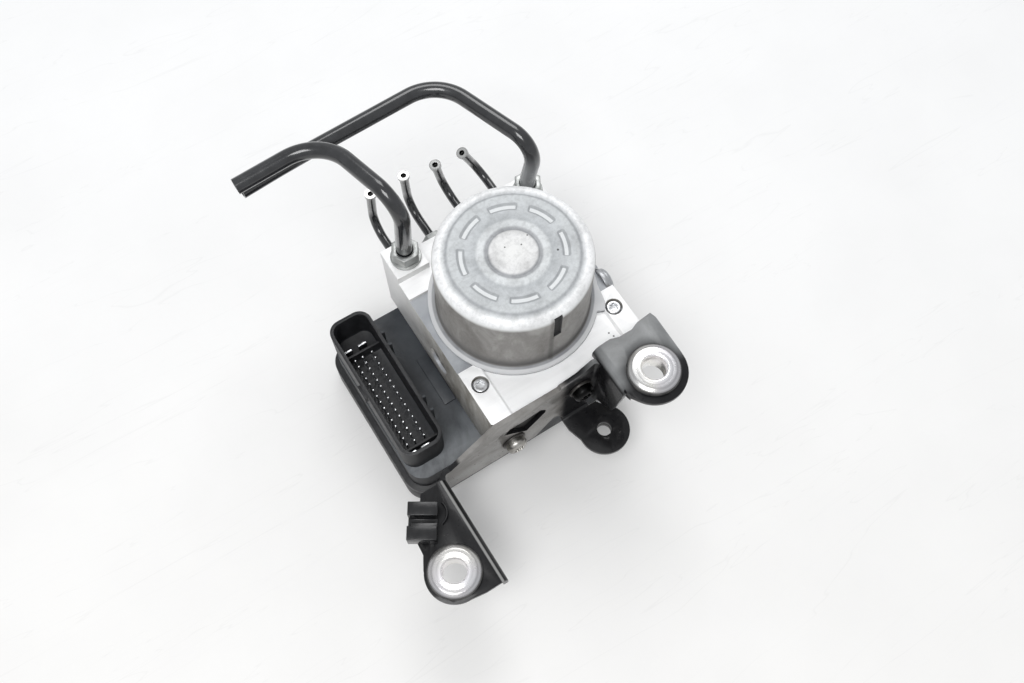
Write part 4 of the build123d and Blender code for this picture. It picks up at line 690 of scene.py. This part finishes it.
# The plate's front and top edge: dust, and a painted reflection of the pale floor in the glossy paint.
plate_dust_and_reflection = graded(
    tree, film, (0.34, (0.175, 0.166, 0.155)), (0.55, (0.28, 0.27, 0.258)), (0.75, (0.38, 0.37, 0.36))
)
on_plate = ramped(tree, sheet_x, -0.003, -0.009)
plate_face = overlap(
    tree, on_plate, ramped(tree, face_y, -0.55, -0.90), ramped(tree, sheet_y, -0.060, -0.0565)
)
plate_top = overlap(
    tree, on_plate, ramped(tree, face_z, 0.3, 0.7), ramped(tree, sheet_y, -0.060, -0.057),
    ramped(tree, sheet_z, 0.056, 0.058),
)
dust_and_reflection_mask = overlap(tree, combined(tree, "MAXIMUM", plate_face, plate_top), 0.9)
tone = blended(tree, dust_and_reflection_mask, paint, plate_dust_and_reflection)
# Painted highlight along the outside of the left tab's fold.
painted_fold_highlight = overlap(
    tree, ramped(tree, face_x, 0.20, 0.33), ramped(tree, face_x, 0.60, 0.46),
    ramped(tree, sheet_x, -0.070, -0.072), ramped(tree, face_z, 0.2, 0.5),
)
tone = blended(tree, painted_fold_highlight, tone, (0.27, 0.27, 0.265))
round_sleeve = spots(tree, place, [right_hole], clean_ring)
right_tab = overlap(
    tree, ramped(tree, face_z, 0.3, 0.9), ramped(tree, sheet_z, 0.080, 0.086),
    graded(tree, film, (0.36, 0.60), (0.62, 1.0)), combined(tree, "SUBTRACT", 1.0, round_sleeve),
    ramped(tree, sheet_y, -0.078, -0.070),
)
tone = blended(tree, right_tab, tone, (0.26, 0.267, 0.27))
tone = blended(tree, graded(tree, specks, (0.66, 0.0), (0.74, 0.5)), tone, (0.22, 0.21, 0.20))
tree.links.new(tone, shader.inputs["Base Color"])
tree.links.new(graded(tree, specks, (0.30, 0.24), (0.70, 0.40)), shader.inputs["Roughness"])
relief(tree, shader, film, 0.18, 0.0006)
relief(tree, shader, cloud(tree, place, 900.0, 3.0), 0.05, 0.0001)
coat(rounded("bracket", "bent_bracket", sheet_edge), painted)
coat(rounded("weld_nut", "welded_nut", 0.0004), painted)

# ---------------------------------------------------------------- bracket bolts
# Button-head bolts over dark washers: the left one bare zinc, the right one painted near black.
blackened = worked(
    "blackened_washer", (0.030, 0.028, 0.026), (0.09, 0.085, 0.08), 0.3, 0.5, metallic=0.6, patch=160.0
)[0]
coat(rounded("bracket_washers", "bolt_washers", 0.0003), blackened)
bolt_finish, tree, shader, place, tone = worked(
    "bolt_heads", (0.30, 0.285, 0.26), (0.58, 0.57, 0.545), 0.26, 0.42, metallic=1.0, patch=220.0
)
# The right bolt is painted near black.
to_right = ramped(tree, split(tree, place)[0], -0.016, -0.014)
tone = blended(tree, to_right, tone, (0.012, 0.012, 0.012))
tree.links.new(tone, shader.inputs["Base Color"])
coat(rounded("bracket_bolts", "bolt_heads", 0.0004), bolt_finish)

# ---------------------------------------------------------------- rubber mounts
# Moulded rubber bushes snapped into the tabs, each on a turned and plated steel sleeve with a
# wide bevelled flange.
mount_places = ((-0.0938, -0.0980, 0.055), right_hole)
sleeve_radius = 0.0125
sleeve_section = [
    (0.00590, -0.0085), (0.00590, 0.00370), (0.00640, 0.00418), (0.00700, 0.00420), (0.00760, 0.00412),
    (0.00830, 0.00385), (0.00900, 0.00380), (0.01020, 0.00382), (0.01060, 0.00374), (0.01200, 0.00290),
    (0.01235, 0.00268), (0.01240, 0.00250), (0.01225, 0.00241), (0.00755, 0.00241), (0.00740, 0.00225),
    (0.00740, -0.0083), (0.00720, -0.0085),
]
sleeves = bmesh.new()
for mount_place in mount_places:
    turned_up(sleeves, sleeve_section, 96, mount_place)
sleeve_piece = finished(sleeves, "turned_sleeves", smooth=60.0)
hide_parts("mount_sleeves")
turned, tree, shader, place, tone = worked(
    "plated_sleeve", (0.84, 0.845, 0.855), (0.94, 0.945, 0.95), 0.24, 0.30, metallic=0.8, patch=30.0,
    bump=0.0,
)
# Painted reflection: patches of pale yellow, pink and blue tint over the plating.
painted_reflection_noise = cloud(tree, place, 28.0, 2.0, 0.4)
painted_reflection_tint = graded(
    tree, painted_reflection_noise, (0.35, (1.0, 1.0, 1.0)), (0.50, (1.0, 0.97, 0.90)), (0.60, (0.97, 0.93, 0.96)),
    (0.72, (0.93, 0.97, 1.0)),
)
flat_place = stretched(tree, place, (1.0, 1.0, 0.0))
from_holes = [distance(tree, flat_place, (*mount_place[:2], 0.0)) for mount_place in mount_places]
from_hole = combined(tree, "MINIMUM", *from_holes)
# Painted light and shade by distance from the bore: bright round the bore, darker on the flange's bevel
# and edge.
painted_ring_shading = graded(
    tree, combined(tree, "DIVIDE", from_hole, sleeve_radius),
    (0.48, 1.0), (0.61, 1.0), (0.67, 0.76), (0.78, 0.66), (0.85, 0.50), (0.93, 0.66), (1.0, 0.30),
)
tone = blended(tree, 1.0, blended(tree, 0.7, tone, painted_reflection_tint, "MULTIPLY"), painted_ring_shading, "MULTIPLY")
tree.links.new(tone, shader.inputs["Base Color"])
coat(sleeve_piece, turned)
bush_rubber = worked(
    "bush_rubber", (0.020, 0.020, 0.021), (0.085, 0.083, 0.080), 0.5, 0.72, patch=130.0, bump=0.25
)[0]
coat(rounded("grommets", "rubber_bushes", 0.0006, 3), bush_rubber)

# ---------------------------------------------------------------- cable clip
# Moulded nylon clip with two jaws, snapped into the left tab, with the curved tongue of its foot
# standing up beside it.
tongue_middle = Vector((-0.0885, -0.0690, 0.05502))
tongue_reach = 0.0068
tongue_first = math.radians(-80.0)
tongue_sweep = math.radians(98.0)
tongue_section = (
    (-0.0006, 0.0), (-0.0006, 0.0018), (-0.0003, 0.0024), (0.0003, 0.0024), (0.0006, 0.0018),
    (0.0006, 0.0),
)
clip_nylon = worked(
    "clip_nylon", (0.004, 0.004, 0.005), (0.014, 0.014, 0.015), 0.16, 0.28, patch=120.0, bump=0.15
)[0]
coat(rounded("cable_clip", "wire_clip", 0.0006, 3), clip_nylon)
tongue = bmesh.new()
first_turn = Matrix.Rotation(tongue_first, 3, "Z")
points = [
    tongue.verts.new(tongue_middle + first_turn @ Vector((tongue_reach + side, 0.0, rise)))
    for side, rise in tongue_section
]
lines = [tongue.edges.new(pair) for pair in zip(points, points[1:] + points[:1])]
bmesh.ops.spin(
    tongue, geom=points + lines, cent=tongue_middle, axis=(0, 0, 1), dvec=(0, 0, 0),
    angle=tongue_sweep, steps=20, use_merge=False, use_duplicate=False,
)
bmesh.ops.holes_fill(tongue, edges=tongue.edges, sides=8)
bmesh.ops.recalc_face_normals(tongue, faces=tongue.faces)
coat(finished(tongue, "clip_tongue"), clip_nylon)

# ---------------------------------------------------------------- pipes
# Steel tube in a thin black nylon coat, bent cold. The wheel pipes end in bare upset beads; the
# two master pipes are cut square.
wheel_ends = (
    (-0.0322, 0.0865, 0.0790), (-0.0125, 0.0865, 0.0798), (0.0061, 0.0865, 0.0747),
    (0.0225, 0.0865, 0.0728),
)
bead_reach = 0.0042
sleek, tree, shader, place = shaded(
    "nylon_coat", Specular_IOR_Level=0.4, Coat_Weight=0.8, Coat_Roughness=0.07
)
pipe_x, pipe_y, pipe_z = split(tree, place)
wear = cloud(tree, place, 130.0, 6.0, 0.65)
tone = graded(tree, wear, (0.30, (0.008, 0.009, 0.010)), (0.70, (0.026, 0.027, 0.030)))
# The right master pipe is lighter grey low down, near its nut.
lighter_near_nut = overlap(
    tree, ramped(tree, pipe_z, 0.116, 0.100), ramped(tree, pipe_x, 0.020, 0.030),
    ramped(tree, pipe_y, 0.056, 0.050), 0.9,
)
tone = blended(tree, lighter_near_nut, tone, (0.30, 0.31, 0.32))
bare_end = spots(tree, place, wheel_ends, bead_reach)
tone = blended(tree, bare_end, tone, (0.66, 0.66, 0.65))
tree.links.new(tone, shader.inputs["Base Color"])
tree.links.new(bare_end, shader.inputs["Metallic"])
tree.links.new(graded(tree, wear, (0.3, 0.17), (0.7, 0.30)), shader.inputs["Roughness"])
relief(tree, shader, cloud(tree, place, 650.0, 3.0), 0.05, 0.0002)


def smoothed(node, name):
    """Copy of a CAD node's mesh, merged and smooth-shaded; it stands for the node."""
    form = bmesh.new()
    form.from_mesh(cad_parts[node].data)
    bmesh.ops.remove_doubles(form, verts=form.verts, dist=merge_gap)
    piece = finished(form, name, smooth=40.0)
    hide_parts(node)
    return piece


for node, name in (
    ("master_pipe_left", "left_master_tube"), ("master_pipe_right", "right_master_tube"),
    ("wheel_pipe_1", "wheel_tube_1"), ("wheel_pipe_2", "wheel_tube_2"), ("wheel_pipe_3", "wheel_tube_3"),
    ("wheel_pipe_4", "wheel_tube_4"),
):
    coat(smoothed(node, name), sleek)

# ---------------------------------------------------------------- pipe nuts
# Turned steel union nuts, zinc plated and a little dull from the weather.
nut_plate = worked(
    "nut_plate", (0.29, 0.30, 0.295), (0.50, 0.51, 0.50), 0.32, 0.5, metallic=1.0, patch=170.0
)[0]
coat(rounded("master_nuts", "master_unions", 0.0005), nut_plate)
coat(rounded("wheel_nuts", "wheel_unions", 0.0005), nut_plate)
